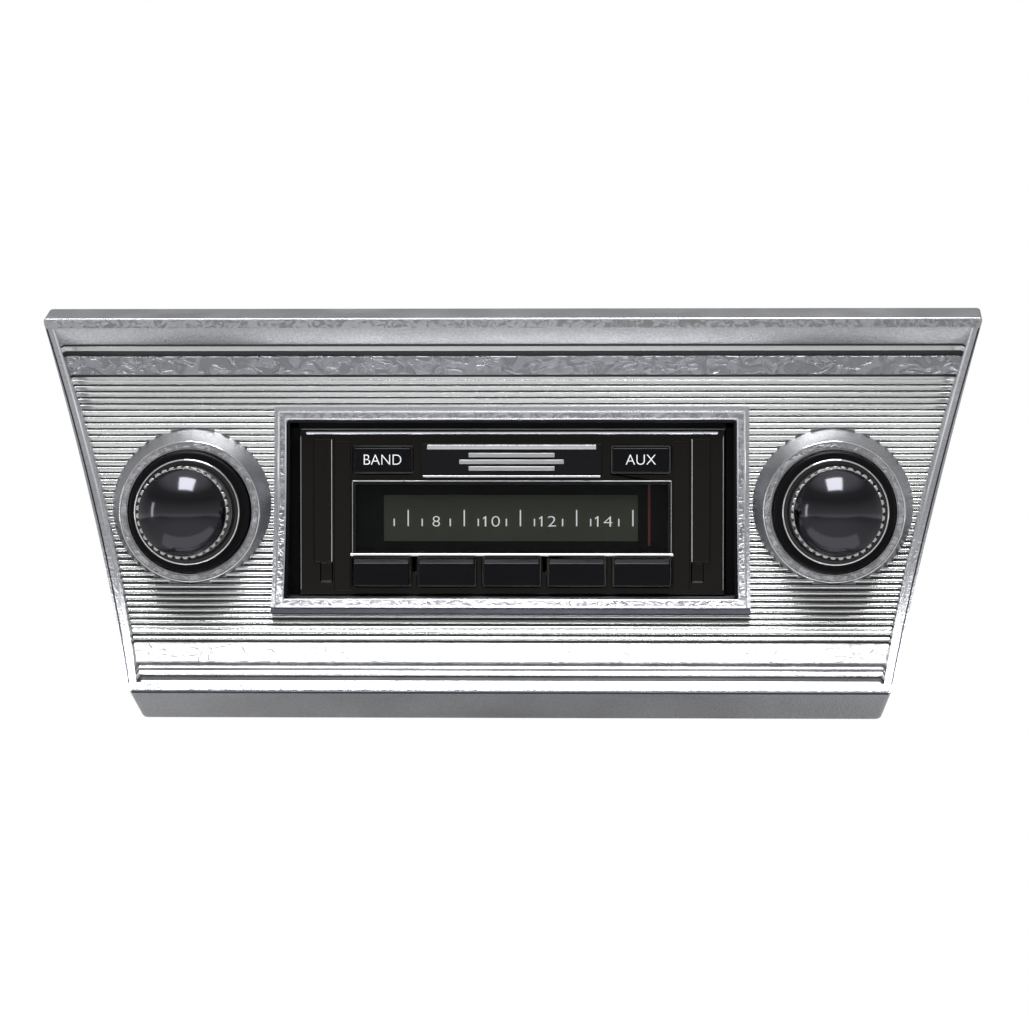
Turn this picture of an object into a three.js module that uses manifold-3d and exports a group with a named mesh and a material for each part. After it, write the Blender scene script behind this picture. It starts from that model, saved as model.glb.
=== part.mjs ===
// A car radio: a push-button receiver behind a cast dash bezel, with two concentric control
// knobs and a dial pointer drawn by a cord. Millimetres, +Z up. The front faces -Y, and +X is
// the right-hand side seen from the front. The origin is midway between the two control
// shafts, on the plane of the dash panel that the bezel lies against.

import * as THREE from 'three';
import { mergeVertices } from 'three/addons/utils/BufferGeometryUtils.js';
import Module from 'manifold-3d';

const wasm = await Module();
wasm.setup();

// ---------------------------------------------------------------------------------------
// Driving dimensions
// ---------------------------------------------------------------------------------------

const GAP = 0.3; // between fixed pieces that touch
const RUN = 0.4; // round a piece that moves
const BEYOND = 1; // how far a cut runs past the face that it opens

// The bezel casting
const SHAFT_SPACING = 165.1;
const DASH_TILT = THREE.MathUtils.degToRad(10); // the dash leans back at its top
const FACE_RADIUS = 105; // the front is hollowed from top to bottom
const FACE_DEEPEST_Y = -2.6;
const FACE_DEEPEST_Z = 18.3;
const RIM_TOP = 49.6;
const RIM_BOTTOM = -44.9;
const HALF_WIDTH = 107.3; // at the height of the shafts
const SIDE_SLOPE = 0.26; // the bezel is wider at its top
const SIDE_DRAFT = 0.042;
const TOP_DRAFT = 0.186;
const BOTTOM_DRAFT = 0.533;
const BEZEL_CORNER = 1.4;
const RIM_WIDTH = 2.1;
const RIM_TOP_WIDTH = 2.7;
const FIELD_DEPTH = 3; // the ribbed field lies this far behind the rim
const FIELD_SIDE_DRAFT = 0.065;
const FIELD_TOP_SLOPE = 0.96;
const CASTING_WALL = 2.5;

// The raised frame round the opening
const FRAME_HALF_WIDTH = 61.1;
const FRAME_TOP = 26.8;
const FRAME_BOTTOM = -25.3;
const FRAME_BAR = 3.2;
const FRAME_BACK = 3.2;
const OPENING_DRAFT = 0.05;

// The bosses that the knobs stand in
const BOSS_FRONT = -6.8;
const BOSS_RADIUS = 18.2;
const BOSS_RECESS_RADIUS = 16.1;
const BOSS_DRAFT = Math.tan(THREE.MathUtils.degToRad(25));
const BOSS_FLOOR = 0;
const BOSS_FLOOR_THICKNESS = 2;

// The control shafts and their bushings
const INNER_SHAFT_RADIUS = 1.9;
const SLEEVE_RADIUS = 3.2;
const BUSHING_RADIUS = 4.8;
const BUSHING_FLANGE_RADIUS = 8;
const BUSHING_FLANGE_THICKNESS = 2.3;
const WASHER_THICKNESS = 0.5;
const WASHER_RADIUS = 9;
const NUT_THICKNESS = 2.1;
const NUT_RADIUS = 7.3;

// The knobs
const RING_RADIUS = 15.6;
const RING_THICKNESS = 4.4;
const SKIRT_RADIUS = 13.65;
const SKIRT_DEPTH = 4; // the straight part, up to the bright edge
const CONE_RADIUS = 12.9;
const CONE_FRONT_RADIUS = 11.3;
const CONE_DEPTH = 5;
const GRIP_RADIUS = 11.75;
const GRIP_THICKNESS = 2.6;
const GRIP_TEETH = 36;
const GRIP_TOOTH_DEPTH = 0.6;
const DOME_RADIUS = 11.1;
const DOME_HEIGHT = 6.3;
const SHAFT_IN_DOME = 2.7;

// The nose: the black front that shows through the bezel
const NOSE_FRONT = 0.4;
const NOSE_HALF_WIDTH = 55;
const NOSE_TOP = 21;
const NOSE_BOTTOM = -21.5;
const NOSE_WALL = 1.5;
const NOSE_FACE = 1.2;
const WINDOW_HALF_WIDTH = 40.5;
const WINDOW_TOP = 7.2;
const WINDOW_BOTTOM = -10.9;
const LENS_INSET = 0.1;
const BADGE_HALF_WIDTH = 23.2;
const BADGE_TOP = 17.5;
const BADGE_BOTTOM = 8.75;
const BADGE_THICKNESS = 0.7;
const POCKET_INNER_X = 46.4;
const POCKET_OUTER_X = 49.5;
const POCKET_TOP = -13.45;
const POCKET_BOTTOM = -18.2;
const POCKET_DEPTH = 0.7;

// The preset buttons and the two keys
const BUTTON_COUNT = 5;
const BUTTON_PITCH = 16.8;
const BUTTON_WIDTH = 14.35;
const BUTTON_TOP = -12.2;
const BUTTON_BOTTOM = -19.1;
const BUTTON_FRONT = -2.6;
const BUTTON_BEVEL = 1.3;
const BUTTON_TRAVEL = 2.5;
const KEY_CENTRE_X = 33.3;
const KEY_WIDTH = 14.6;
const KEY_TOP = 16.6;
const KEY_BOTTOM = 10.1;
const KEY_FRONT = -0.9;
const KEY_BEVEL = 0.5;
const KEY_TRAVEL = 1.5;
const STEM_WIDTH = 5;
const STEM_HEIGHT = 3;
const CAP_TO_PLATE = 0.5; // left when a cap is pushed right in

// The dial and its drive
const POINTER_X = 35.5; // the pointer rests at the right-hand end of the scale
const POINTER_WIDTH = 0.6;
const POINTER_THICKNESS = 0.5;
const POINTER_BOTTOM = -9;
const DIAL_THICKNESS = 1;
const ARM_BOTTOM = 7.8;
const ARM_TOP = 9.2;
const ARM_WIDTH = 1.2;
const CARRIAGE_WIDTH = 8;
const CARRIAGE_SIZE = 4.6; // front to back, and bottom to top
const RAIL_RADIUS = 1.2;
const RAIL_Y = 18;
const RAIL_Z = 8.3;
const RAIL_HALF_LENGTH = 47;
const RAIL_BRACKET_THICKNESS = 2;
const CORD_Y = 23;
const CORD_SIZE = 0.7;
const GROOVE_RADIUS = 3.6;
const PULLEY_RADIUS = 5.2;
const PULLEY_THICKNESS = 4;
const GROOVE_WIDTH = 2;
const IDLER_X = -60;
const IDLER_PIN_RADIUS = 1.2;
const TUNING_BEARING_FRONT = 27;
const TUNING_BEARING_THICKNESS = 2;

// The switch boards
const BOARD_THICKNESS = 1.6;
const BOARD_HALF_WIDTH = 44;
const SWITCH_DEPTH = 2.7;
const SWITCH_WIDTH = 6;
const SWITCH_HEIGHT = 3.6;
const BOARD_PILLAR_X = 41.5;
const BOARD_PILLAR_RADIUS = 2;
const KEY_BOARD_BOTTOM = 11.5;
const KEY_BOARD_TOP = 20;
const PRESET_BOARD_BOTTOM = -22;
const PRESET_BOARD_TOP = -10;

// The chassis
const CHASSIS_FRONT = 8;
const CHASSIS_BACK = 128;
const CHASSIS_HALF_WIDTH = 92.5;
const CHASSIS_TOP = 26.8;
const CHASSIS_BOTTOM = -26;
const SHEET = 1.2;
const COVER_SHEET = 1;
const COVER_LIP = 10;
const POT_RADIUS = 8;
const REAR_POT_LENGTH = 8.9;
const FRONT_POT_LENGTH = 8;
const HEAT_SINK_LEFT = 8;
const HEAT_SINK_RIGHT = 88;
const HEAT_SINK_BASE = 3.7;
const HEAT_SINK_DEPTH = 17.7;
const FIN_COUNT = 12;
const FIN_THICKNESS = 2;
const MAIN_BOARD_TOP = -18;
const MAIN_BOARD_FRONT = 34;
const MAIN_BOARD_BACK = 116;
const MAIN_BOARD_HALF_WIDTH = 84;
const AERIAL_X = -70;
const AERIAL_RADIUS = 5.2;
const AERIAL_BORE_RADIUS = 4;
const AERIAL_BORE_DEPTH = 14;
const SUPPLY_CENTRE_X = -34;
const SUPPLY_CAVITY = { width: 24, height: 8, depth: 13 };
const SUPPLY_WALL = 2;
const STUD_X = -42;
const STUD_Z = 14;
const STUD_RADIUS = 3;
const STUD_LENGTH = 19; // behind the chassis

// ---------------------------------------------------------------------------------------
// Sizes that follow from the ones above
// ---------------------------------------------------------------------------------------

const SHAFT_X = SHAFT_SPACING / 2;
const INNER_BORE = INNER_SHAFT_RADIUS + GAP;
const SLEEVE_BORE = SLEEVE_RADIUS + GAP;
const BUSHING_HOLE = BUSHING_RADIUS + GAP;
const WASHER_FRONT = BOSS_FLOOR - GAP - WASHER_THICKNESS;
const NUT_FRONT = WASHER_FRONT - GAP - NUT_THICKNESS;
const BUSHING_FRONT = NUT_FRONT - 0.1;
const RING_BACK = BUSHING_FRONT - GAP;
const RING_FRONT = RING_BACK - RING_THICKNESS;
const SKIRT_BACK = RING_FRONT - GAP;
const SKIRT_EDGE = SKIRT_BACK - SKIRT_DEPTH;
const CONE_FRONT = SKIRT_EDGE - CONE_DEPTH;
const GRIP_BACK = CONE_FRONT - GAP;
const GRIP_FRONT = GRIP_BACK - GRIP_THICKNESS;
const DOME_BACK = GRIP_FRONT - GAP;
const DOME_FRONT = DOME_BACK - DOME_HEIGHT;
const SHAFT_FRONT = DOME_BACK - SHAFT_IN_DOME;
const PLATE_BACK = CHASSIS_FRONT + SHEET;
const POT_FRONT = PLATE_BACK + 2 * GAP;
const FRONT_POT_BACK = POT_FRONT + FRONT_POT_LENGTH;
const REAR_POT_FRONT = FRONT_POT_BACK + GAP;
const REAR_POT_BACK = REAR_POT_FRONT + REAR_POT_LENGTH;
const NOSE_BACK = CHASSIS_FRONT - GAP;
const NOSE_INSIDE = NOSE_FRONT + NOSE_FACE;
const POINTER_FRONT = NOSE_INSIDE + RUN;
const DIAL_FRONT = POINTER_FRONT + POINTER_THICKNESS + RUN;
const CAP_BACK = CHASSIS_FRONT - CAP_TO_PLATE;
const CORD_RADIUS = GROOVE_RADIUS + GAP + CORD_SIZE / 2;
const COVER_BOTTOM = CHASSIS_TOP + GAP;
const REAR_PANEL_BACK = CHASSIS_BACK - GAP;
const REAR_PANEL_FRONT = REAR_PANEL_BACK - SHEET;
const OUTSIDE_BACK = CHASSIS_BACK + GAP;
const ON_BOARD = MAIN_BOARD_TOP + GAP;

// ---------------------------------------------------------------------------------------
// Solids
// ---------------------------------------------------------------------------------------

/** Six times the signed volume, which is negative on a solid turned inside out. */
function signedVolume(points, triangles) {
  const corner = [new THREE.Vector3(), new THREE.Vector3(), new THREE.Vector3()];
  let total = 0;
  for (let i = 0; i < triangles.length; i += 3) {
    corner.forEach((vector, k) => vector.fromArray(points, 3 * triangles[i + k]));
    total += corner[0].dot(corner[1].clone().cross(corner[2]));
  }
  return total;
}

/** Turns a closed three.js geometry into a solid that can be cut and joined. */
function solid(geometry) {
  geometry.deleteAttribute('normal');
  geometry.deleteAttribute('uv');
  const merged = mergeVertices(geometry, 1e-4);
  const points = merged.attributes.position.array;
  const corners = merged.index.array;
  const triangles = [];
  for (let i = 0; i < corners.length; i += 3) {
    const [a, b, c] = corners.slice(i, i + 3);
    if (a !== b && b !== c && c !== a) {
      triangles.push(a, b, c);
    }
  }
  if (signedVolume(points, triangles) < 0) {
    triangles.reverse();
  }
  return new wasm.Manifold(new wasm.Mesh({
    numProp: 3,
    vertProperties: Float32Array.from(points),
    triVerts: Uint32Array.from(triangles),
  }));
}

/** A block between two corners: each argument is a [low, high] pair. */
function block([x0, x1], [y0, y1], [z0, z1]) {
  const geometry = new THREE.BoxGeometry(x1 - x0, y1 - y0, z1 - z0);
  return solid(geometry.translate((x0 + x1) / 2, (y0 + y1) / 2, (z0 + z1) / 2));
}

/** A round bar along Y, centred on x and z. */
function rodY(radius, [y0, y1], x = 0, z = 0, sides = 24) {
  const geometry = new THREE.CylinderGeometry(radius, radius, y1 - y0, sides);
  return solid(geometry.translate(x, (y0 + y1) / 2, z));
}

/** A round bar along X, centred on y and z. */
function rodX(radius, [x0, x1], y, z, sides = 20) {
  const geometry = new THREE.CylinderGeometry(radius, radius, x1 - x0, sides);
  return solid(geometry.rotateZ(Math.PI / 2).translate((x0 + x1) / 2, y, z));
}

/** A round bar along Z, centred on x and y. */
function rodZ(radius, [z0, z1], x, y, sides = 20) {
  const geometry = new THREE.CylinderGeometry(radius, radius, z1 - z0, sides);
  return solid(geometry.rotateX(Math.PI / 2).translate(x, y, (z0 + z1) / 2));
}

/** A tube along Y. */
function tubeY(bore, radius, [y0, y1], sides = 24) {
  return rodY(radius, [y0, y1], 0, 0, sides).subtract(rodY(bore, [y0 - BEYOND, y1 + BEYOND]));
}

/** A solid turned about the Y axis from [radius, y] points that close on themselves. */
function turned(profile, sides = 36) {
  const points = [...profile, profile[0]].map(([radius, y]) => new THREE.Vector2(radius, y));
  return solid(new THREE.LatheGeometry(points, sides));
}

/** An outline of [y, z] points drawn out along X. */
function alongX(outline, [x0, x1]) {
  const shape = new THREE.Shape(outline.map(([y, z]) => new THREE.Vector2(y, z)));
  const geometry = new THREE.ExtrudeGeometry(shape, { depth: x1 - x0, bevelEnabled: false });
  const turn = new THREE.Matrix4().makeBasis(
    new THREE.Vector3(0, 1, 0),
    new THREE.Vector3(0, 0, 1),
    new THREE.Vector3(1, 0, 0),
  );
  return solid(geometry.applyMatrix4(turn).translate(x0, 0, 0));
}

/** A shape drawn in x and z, given thickness along Y. */
function alongY(shape, [y0, y1], curveSegments = 12) {
  const options = { depth: y1 - y0, bevelEnabled: false, curveSegments };
  const geometry = new THREE.ExtrudeGeometry(shape, options);
  return solid(geometry.rotateX(Math.PI / 2).translate(0, y1, 0));
}

/** A closed solid between two outlines that have the same number of points. */
function loft(front, back) {
  const count = front.length;
  const index = [];
  for (let i = 0; i < count; i += 1) {
    const next = (i + 1) % count;
    index.push(i, next, next + count, i, next + count, i + count);
  }
  for (let i = 1; i < count - 1; i += 1) {
    index.push(0, i + 1, i, count, count + i, count + i + 1);
  }
  const geometry = new THREE.BufferGeometry();
  const points = [...front, ...back].flatMap((point) => point.toArray());
  geometry.setAttribute('position', new THREE.Float32BufferAttribute(points, 3));
  geometry.setIndex(index);
  return solid(geometry);
}

/** Adds a solid to a group as a named mesh with a material of its own. */
function piece(group, name, body, look) {
  const { vertProperties, triVerts } = body.getMesh();
  const geometry = new THREE.BufferGeometry();
  geometry.setAttribute('position', new THREE.BufferAttribute(vertProperties, 3));
  geometry.setIndex(new THREE.BufferAttribute(triVerts, 1));
  geometry.computeVertexNormals();
  const mesh = new THREE.Mesh(geometry, new THREE.MeshStandardMaterial(look));
  mesh.name = name;
  group.add(mesh);
}

const LOOKS = {
  casting: { color: 0xc9cacc, roughness: 0.28, metalness: 1 },
  nose: { color: 0x14110f, roughness: 0.18, metalness: 0.1 },
  key: { color: 0x1b1e22, roughness: 0.35, metalness: 0 },
  lens: { color: 0x202422, roughness: 0.05, metalness: 0, transparent: true, opacity: 0.35 },
  dial: { color: 0x22322c, roughness: 0.6, metalness: 0 },
  badge: { color: 0x0b0c0e, roughness: 0.1, metalness: 0.2 },
  pointer: { color: 0x7d1410, roughness: 0.4, metalness: 0 },
  steel: { color: 0xb4b7b9, roughness: 0.35, metalness: 1 },
  zinc: { color: 0xa9aca6, roughness: 0.45, metalness: 1 },
  aluminium: { color: 0xb9bcc0, roughness: 0.4, metalness: 1 },
  chrome: { color: 0xd8dadd, roughness: 0.08, metalness: 1 },
  blackChrome: { color: 0x111216, roughness: 0.06, metalness: 0.9 },
  grip: { color: 0xe4e6e8, roughness: 0.4, metalness: 0.2 },
  black: { color: 0x0d0d0e, roughness: 0.45, metalness: 0 },
  brass: { color: 0xc0a05a, roughness: 0.35, metalness: 1 },
  board: { color: 0x2c5a38, roughness: 0.55, metalness: 0 },
  cord: { color: 0x3b3226, roughness: 0.9, metalness: 0 },
  plastic: { color: 0xdcd9cf, roughness: 0.5, metalness: 0 },
};

// ---------------------------------------------------------------------------------------
// The bezel
// ---------------------------------------------------------------------------------------

/** Where the hollow front lies at a height, set back into the casting by a depth. */
function faceY(z, depth = 0) {
  const centre = FACE_DEEPEST_Y - FACE_RADIUS;
  return centre + Math.sqrt((FACE_RADIUS + depth) ** 2 - (z - FACE_DEEPEST_Z) ** 2);
}

/** Everything behind the hollow front, set back by a depth. */
function behindFace(depth) {
  const steps = 28;
  const high = RIM_TOP + 12;
  const low = RIM_BOTTOM - 20;
  const back = 60;
  const outline = [[back, low], [back, high]];
  for (let i = 0; i <= steps; i += 1) {
    const z = high + ((low - high) * i) / steps;
    outline.push([faceY(z, depth), z]);
  }
  return alongX(outline, [-2 * HALF_WIDTH, 2 * HALF_WIDTH]);
}

/** Two outlines joined into a solid: a trapezium with rounded corners at each end. */
function trapezium(outlineAt, [y0, y1], corner) {
  const steps = 4;
  const ring = (y) => {
    const { top, bottom, halfWidth } = outlineAt(y);
    const corners = [
      [halfWidth(top), top],
      [-halfWidth(top), top],
      [-halfWidth(bottom), bottom],
      [halfWidth(bottom), bottom],
    ].map(([x, z]) => new THREE.Vector3(x, y, z));
    return corners.flatMap((point, i) => {
      const before = corners[(i + 3) % 4].clone().sub(point).setLength(corner).add(point);
      const after = corners[(i + 1) % 4].clone().sub(point).setLength(corner).add(point);
      return Array.from({ length: steps + 1 }, (_, k) => {
        const start = before.clone().lerp(point, k / steps);
        return start.lerp(point.clone().lerp(after, k / steps), k / steps);
      });
    });
  };
  return loft(ring(y0), ring(y1));
}

const TOP_RIM_Y = faceY(RIM_TOP);
const BOTTOM_RIM_Y = faceY(RIM_BOTTOM);
const RIM_LEAN = (TOP_RIM_Y - BOTTOM_RIM_Y) / (RIM_TOP - RIM_BOTTOM);

/** The outside of the bezel at one depth, moved inwards by an inset. */
function bezelOutline(y, inset = 0) {
  const rimY = (z) => TOP_RIM_Y + (z - RIM_TOP) * RIM_LEAN;
  return {
    top: RIM_TOP + (y - TOP_RIM_Y) * TOP_DRAFT - inset,
    bottom: RIM_BOTTOM - (y - BOTTOM_RIM_Y) * BOTTOM_DRAFT + inset,
    halfWidth: (z) => HALF_WIDTH + SIDE_SLOPE * z + SIDE_DRAFT * (y - rimY(z)) - inset,
  };
}

/** The hollow in the front of the bezel at one depth, inside the rim. */
function fieldOutline(y) {
  const top = RIM_TOP - RIM_TOP_WIDTH;
  const rimY = (z) => TOP_RIM_Y + (z - RIM_TOP) * RIM_LEAN;
  return {
    top: top - (y - faceY(top)) * FIELD_TOP_SLOPE,
    bottom: RIM_BOTTOM + RIM_WIDTH,
    halfWidth: (z) =>
      HALF_WIDTH + SIDE_SLOPE * z - RIM_WIDTH - (y - rimY(z)) * FIELD_SIDE_DRAFT,
  };
}

/** A tapered boss that a knob stands in, with its floor and the hole for the bushing. */
function addBoss(casting, x) {
  const back = BOSS_FLOOR + BOSS_FLOOR_THICKNESS;
  const backRadius = BOSS_RADIUS + (back - BOSS_FRONT) * BOSS_DRAFT;
  const cone = turned([[0, BOSS_FRONT], [BOSS_RADIUS, BOSS_FRONT], [backRadius, back], [0, back]]);
  const recess = rodY(BOSS_RECESS_RADIUS, [BOSS_FRONT - 20, BOSS_FLOOR], x, 0, 48);
  const hole = rodY(BUSHING_HOLE, [BOSS_FLOOR - BEYOND, back + BEYOND], x);
  return casting.add(cone.translate([x, 0, 0])).subtract(recess).subtract(hole);
}

function bezelCasting() {
  const reach = [-40, 14];
  const outside = trapezium((y) => bezelOutline(y), reach, BEZEL_CORNER);
  const dash = new THREE.BoxGeometry(6 * HALF_WIDTH, 100, 6 * HALF_WIDTH);
  const behindDash = solid(dash.translate(0, 50, 0).rotateX(-DASH_TILT));
  const field = trapezium(fieldOutline, reach, BEZEL_CORNER - RIM_WIDTH / 2);
  const inside = trapezium((y) => bezelOutline(y, CASTING_WALL), reach, BEZEL_CORNER - 1);

  let casting = outside.intersect(behindFace(0)).subtract(behindDash);
  casting = casting.subtract(field.subtract(behindFace(FIELD_DEPTH)));
  casting = casting.subtract(inside.intersect(behindFace(FIELD_DEPTH + CASTING_WALL)));

  const frame = block([-FRAME_HALF_WIDTH, FRAME_HALF_WIDTH], [-40, FRAME_BACK], [FRAME_BOTTOM, FRAME_TOP]);
  casting = casting.add(frame.intersect(behindFace(0)));
  [-SHAFT_X, SHAFT_X].forEach((x) => {
    casting = addBoss(casting, x);
  });

  const opening = trapezium((y) => ({
    top: FRAME_TOP - FRAME_BAR - (y - FACE_DEEPEST_Y) * OPENING_DRAFT,
    bottom: FRAME_BOTTOM + FRAME_BAR + (y - FACE_DEEPEST_Y) * OPENING_DRAFT,
    halfWidth: () => FRAME_HALF_WIDTH - FRAME_BAR - (y - FACE_DEEPEST_Y) * OPENING_DRAFT,
  }), [-40, FRAME_BACK + BEYOND], 1);
  return casting.subtract(opening);
}

// ---------------------------------------------------------------------------------------
// The controls: each side has a knob on an inner shaft and a ring on a sleeve
// ---------------------------------------------------------------------------------------

function knobRing() {
  return turned([
    [SLEEVE_BORE, RING_BACK],
    [RING_RADIUS - 0.5, RING_BACK],
    [RING_RADIUS, RING_BACK - 0.5],
    [RING_RADIUS, RING_FRONT + 0.7],
    [RING_RADIUS - 0.7, RING_FRONT],
    [SLEEVE_BORE, RING_FRONT],
  ]);
}

function knobSkirt() {
  return turned([
    [INNER_BORE, SKIRT_BACK],
    [SKIRT_RADIUS - 0.7, SKIRT_BACK],
    [SKIRT_RADIUS, SKIRT_BACK - 1],
    [SKIRT_RADIUS, SKIRT_EDGE + 0.4],
    [SKIRT_RADIUS - 0.25, SKIRT_EDGE],
    [CONE_RADIUS, SKIRT_EDGE - 0.4],
    [CONE_FRONT_RADIUS, CONE_FRONT],
    [INNER_BORE, CONE_FRONT],
  ]);
}

/** The serrated ring: a round plate with a tooth, a flat and a notch in each pitch. */
function knobGrip() {
  const shape = new THREE.Shape();
  const pitch = (2 * Math.PI) / GRIP_TEETH;
  for (let i = 0; i < GRIP_TEETH; i += 1) {
    [[0, 0], [0.15, 1], [0.6, 1], [0.75, 0]].forEach(([share, tooth]) => {
      const radius = GRIP_RADIUS - GRIP_TOOTH_DEPTH * (1 - tooth);
      const angle = (i + share) * pitch;
      const point = [radius * Math.cos(angle), radius * Math.sin(angle)];
      if (i === 0 && share === 0) {
        shape.moveTo(...point);
      } else {
        shape.lineTo(...point);
      }
    });
  }
  const plate = alongY(shape, [GRIP_FRONT, GRIP_BACK]);
  return plate.subtract(rodY(INNER_BORE, [GRIP_FRONT - BEYOND, GRIP_BACK + BEYOND]));
}

/** A domed cap with a blind bore for the end of the shaft. */
function knobDome() {
  const steps = 7;
  const sphere = (DOME_RADIUS ** 2 + DOME_HEIGHT ** 2) / (2 * DOME_HEIGHT);
  const spread = Math.asin(DOME_RADIUS / sphere);
  const profile = Array.from({ length: steps + 1 }, (_, i) => {
    const angle = (spread * i) / steps;
    return [sphere * Math.sin(angle), DOME_FRONT + sphere * (1 - Math.cos(angle))];
  });
  const boreEnd = SHAFT_FRONT - GAP;
  return turned([...profile, [INNER_BORE, DOME_BACK], [INNER_BORE, boreEnd], [0, boreEnd]]);
}

function bushing() {
  const flangeBack = CHASSIS_FRONT - GAP;
  const flangeFront = flangeBack - BUSHING_FLANGE_THICKNESS;
  return turned([
    [SLEEVE_BORE, BUSHING_FRONT],
    [BUSHING_RADIUS, BUSHING_FRONT],
    [BUSHING_RADIUS, flangeFront],
    [BUSHING_FLANGE_RADIUS, flangeFront],
    [BUSHING_FLANGE_RADIUS, flangeBack],
    [BUSHING_RADIUS, flangeBack],
    [BUSHING_RADIUS, PLATE_BACK + GAP],
    [SLEEVE_BORE, PLATE_BACK + GAP],
  ], 24);
}

/** The pieces that both sides have, from the domed cap back to the ring's control. */
function control(x, knob, ring, names) {
  const group = new THREE.Group();
  group.position.x = x;
  const hole = [-BEYOND, BEYOND];
  const washer = tubeY(BUSHING_HOLE, WASHER_RADIUS, [WASHER_FRONT, WASHER_FRONT + WASHER_THICKNESS]);
  const nut = rodY(NUT_RADIUS, [NUT_FRONT, NUT_FRONT + NUT_THICKNESS], 0, 0, 6);
  const nutHole = rodY(BUSHING_HOLE, [NUT_FRONT + hole[0], NUT_FRONT + NUT_THICKNESS + hole[1]]);
  const sleeveEnds = [RING_FRONT + GAP, FRONT_POT_BACK - GAP];
  piece(group, `${knob}_knob_dome`, knobDome(), LOOKS.blackChrome);
  piece(group, `${knob}_knob_grip`, knobGrip(), LOOKS.grip);
  piece(group, `${knob}_knob_skirt`, knobSkirt(), LOOKS.chrome);
  piece(group, `${ring}_ring`, knobRing(), LOOKS.black);
  piece(group, `${ring}_shaft`, tubeY(INNER_BORE, SLEEVE_RADIUS, sleeveEnds, 24), LOOKS.brass);
  piece(group, `${names}_nut`, nut.subtract(nutHole), LOOKS.steel);
  piece(group, `${names}_washer`, washer, LOOKS.steel);
  piece(group, `${names}_bushing`, bushing(), LOOKS.brass);
  const frontPot = tubeY(SLEEVE_BORE, POT_RADIUS, [POT_FRONT, FRONT_POT_BACK]);
  piece(group, `${ring}_control`, frontPot, LOOKS.zinc);
  return group;
}

function volumeControl() {
  const group = control(-SHAFT_X, 'volume', 'tone', 'left');
  const shaft = rodY(INNER_SHAFT_RADIUS, [SHAFT_FRONT, REAR_POT_BACK - GAP], 0, 0, 20);
  const pot = tubeY(INNER_BORE, POT_RADIUS, [REAR_POT_FRONT, REAR_POT_BACK]);
  piece(group, 'volume_shaft', shaft, LOOKS.steel);
  piece(group, 'volume_control', pot, LOOKS.zinc);
  return group;
}

/** A grooved wheel about the Y axis, centred on the dial cord. */
function pulley(bore) {
  const half = PULLEY_THICKNESS / 2;
  const groove = GROOVE_WIDTH / 2;
  return turned([
    [bore, CORD_Y - half],
    [PULLEY_RADIUS, CORD_Y - half],
    [PULLEY_RADIUS, CORD_Y - groove],
    [GROOVE_RADIUS, CORD_Y - groove],
    [GROOVE_RADIUS, CORD_Y + groove],
    [PULLEY_RADIUS, CORD_Y + groove],
    [PULLEY_RADIUS, CORD_Y + half],
    [bore, CORD_Y + half],
  ], 24);
}

function tuningControl() {
  const group = control(SHAFT_X, 'tuning', 'fader', 'right');
  const bearingBack = TUNING_BEARING_FRONT + TUNING_BEARING_THICKNESS;
  const shaft = rodY(INNER_SHAFT_RADIUS, [SHAFT_FRONT, bearingBack + 1.5], 0, 0, 20);
  const bearing = block(
    [-PULLEY_RADIUS, PULLEY_RADIUS],
    [TUNING_BEARING_FRONT, bearingBack],
    [CHASSIS_BOTTOM + SHEET + GAP, PULLEY_RADIUS],
  );
  const bore = rodY(INNER_BORE, [TUNING_BEARING_FRONT - BEYOND, bearingBack + BEYOND]);
  piece(group, 'tuning_shaft', shaft, LOOKS.steel);
  piece(group, 'tuning_drum', pulley(INNER_BORE), LOOKS.plastic);
  piece(group, 'tuning_bearing', bearing.subtract(bore), LOOKS.zinc);
  return group;
}

// ---------------------------------------------------------------------------------------
// The nose, its keys and its buttons
// ---------------------------------------------------------------------------------------

/** The centres of the preset buttons, from left to right. */
const buttonCentres = Array.from(
  { length: BUTTON_COUNT },
  (_, i) => (i - (BUTTON_COUNT - 1) / 2) * BUTTON_PITCH,
);
const BUTTON_CENTRE_Z = (BUTTON_TOP + BUTTON_BOTTOM) / 2;
const KEY_CENTRE_Z = (KEY_TOP + KEY_BOTTOM) / 2;

/** Where a stem passes through the chassis front, with room all round. */
function stemHole(x, z) {
  const halfWidth = STEM_WIDTH / 2 + RUN;
  const halfHeight = STEM_HEIGHT / 2 + RUN;
  const through = [CHASSIS_FRONT - BEYOND, PLATE_BACK + BEYOND];
  return block([x - halfWidth, x + halfWidth], through, [z - halfHeight, z + halfHeight]);
}

/** A cap with a sloped top edge and a stem that reaches the switch behind it. */
function cap(centre, width, bottom, top, front, bevel, travel) {
  const capBack = CAP_BACK - travel;
  const outline = [
    [capBack, bottom],
    [front, bottom],
    [front, top - bevel],
    [front + bevel, top],
    [capBack, top],
  ];
  const middle = (bottom + top) / 2;
  const stem = block(
    [centre - STEM_WIDTH / 2, centre + STEM_WIDTH / 2],
    [capBack - BEYOND, switchFront() - GAP - travel],
    [middle - STEM_HEIGHT / 2, middle + STEM_HEIGHT / 2],
  );
  return alongX(outline, [centre - width / 2, centre + width / 2]).add(stem);
}

/** The front of the switches, which a stem just reaches when its cap is pushed in. */
function switchFront() {
  return CHASSIS_FRONT + BUTTON_TRAVEL + 0.8;
}

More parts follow.
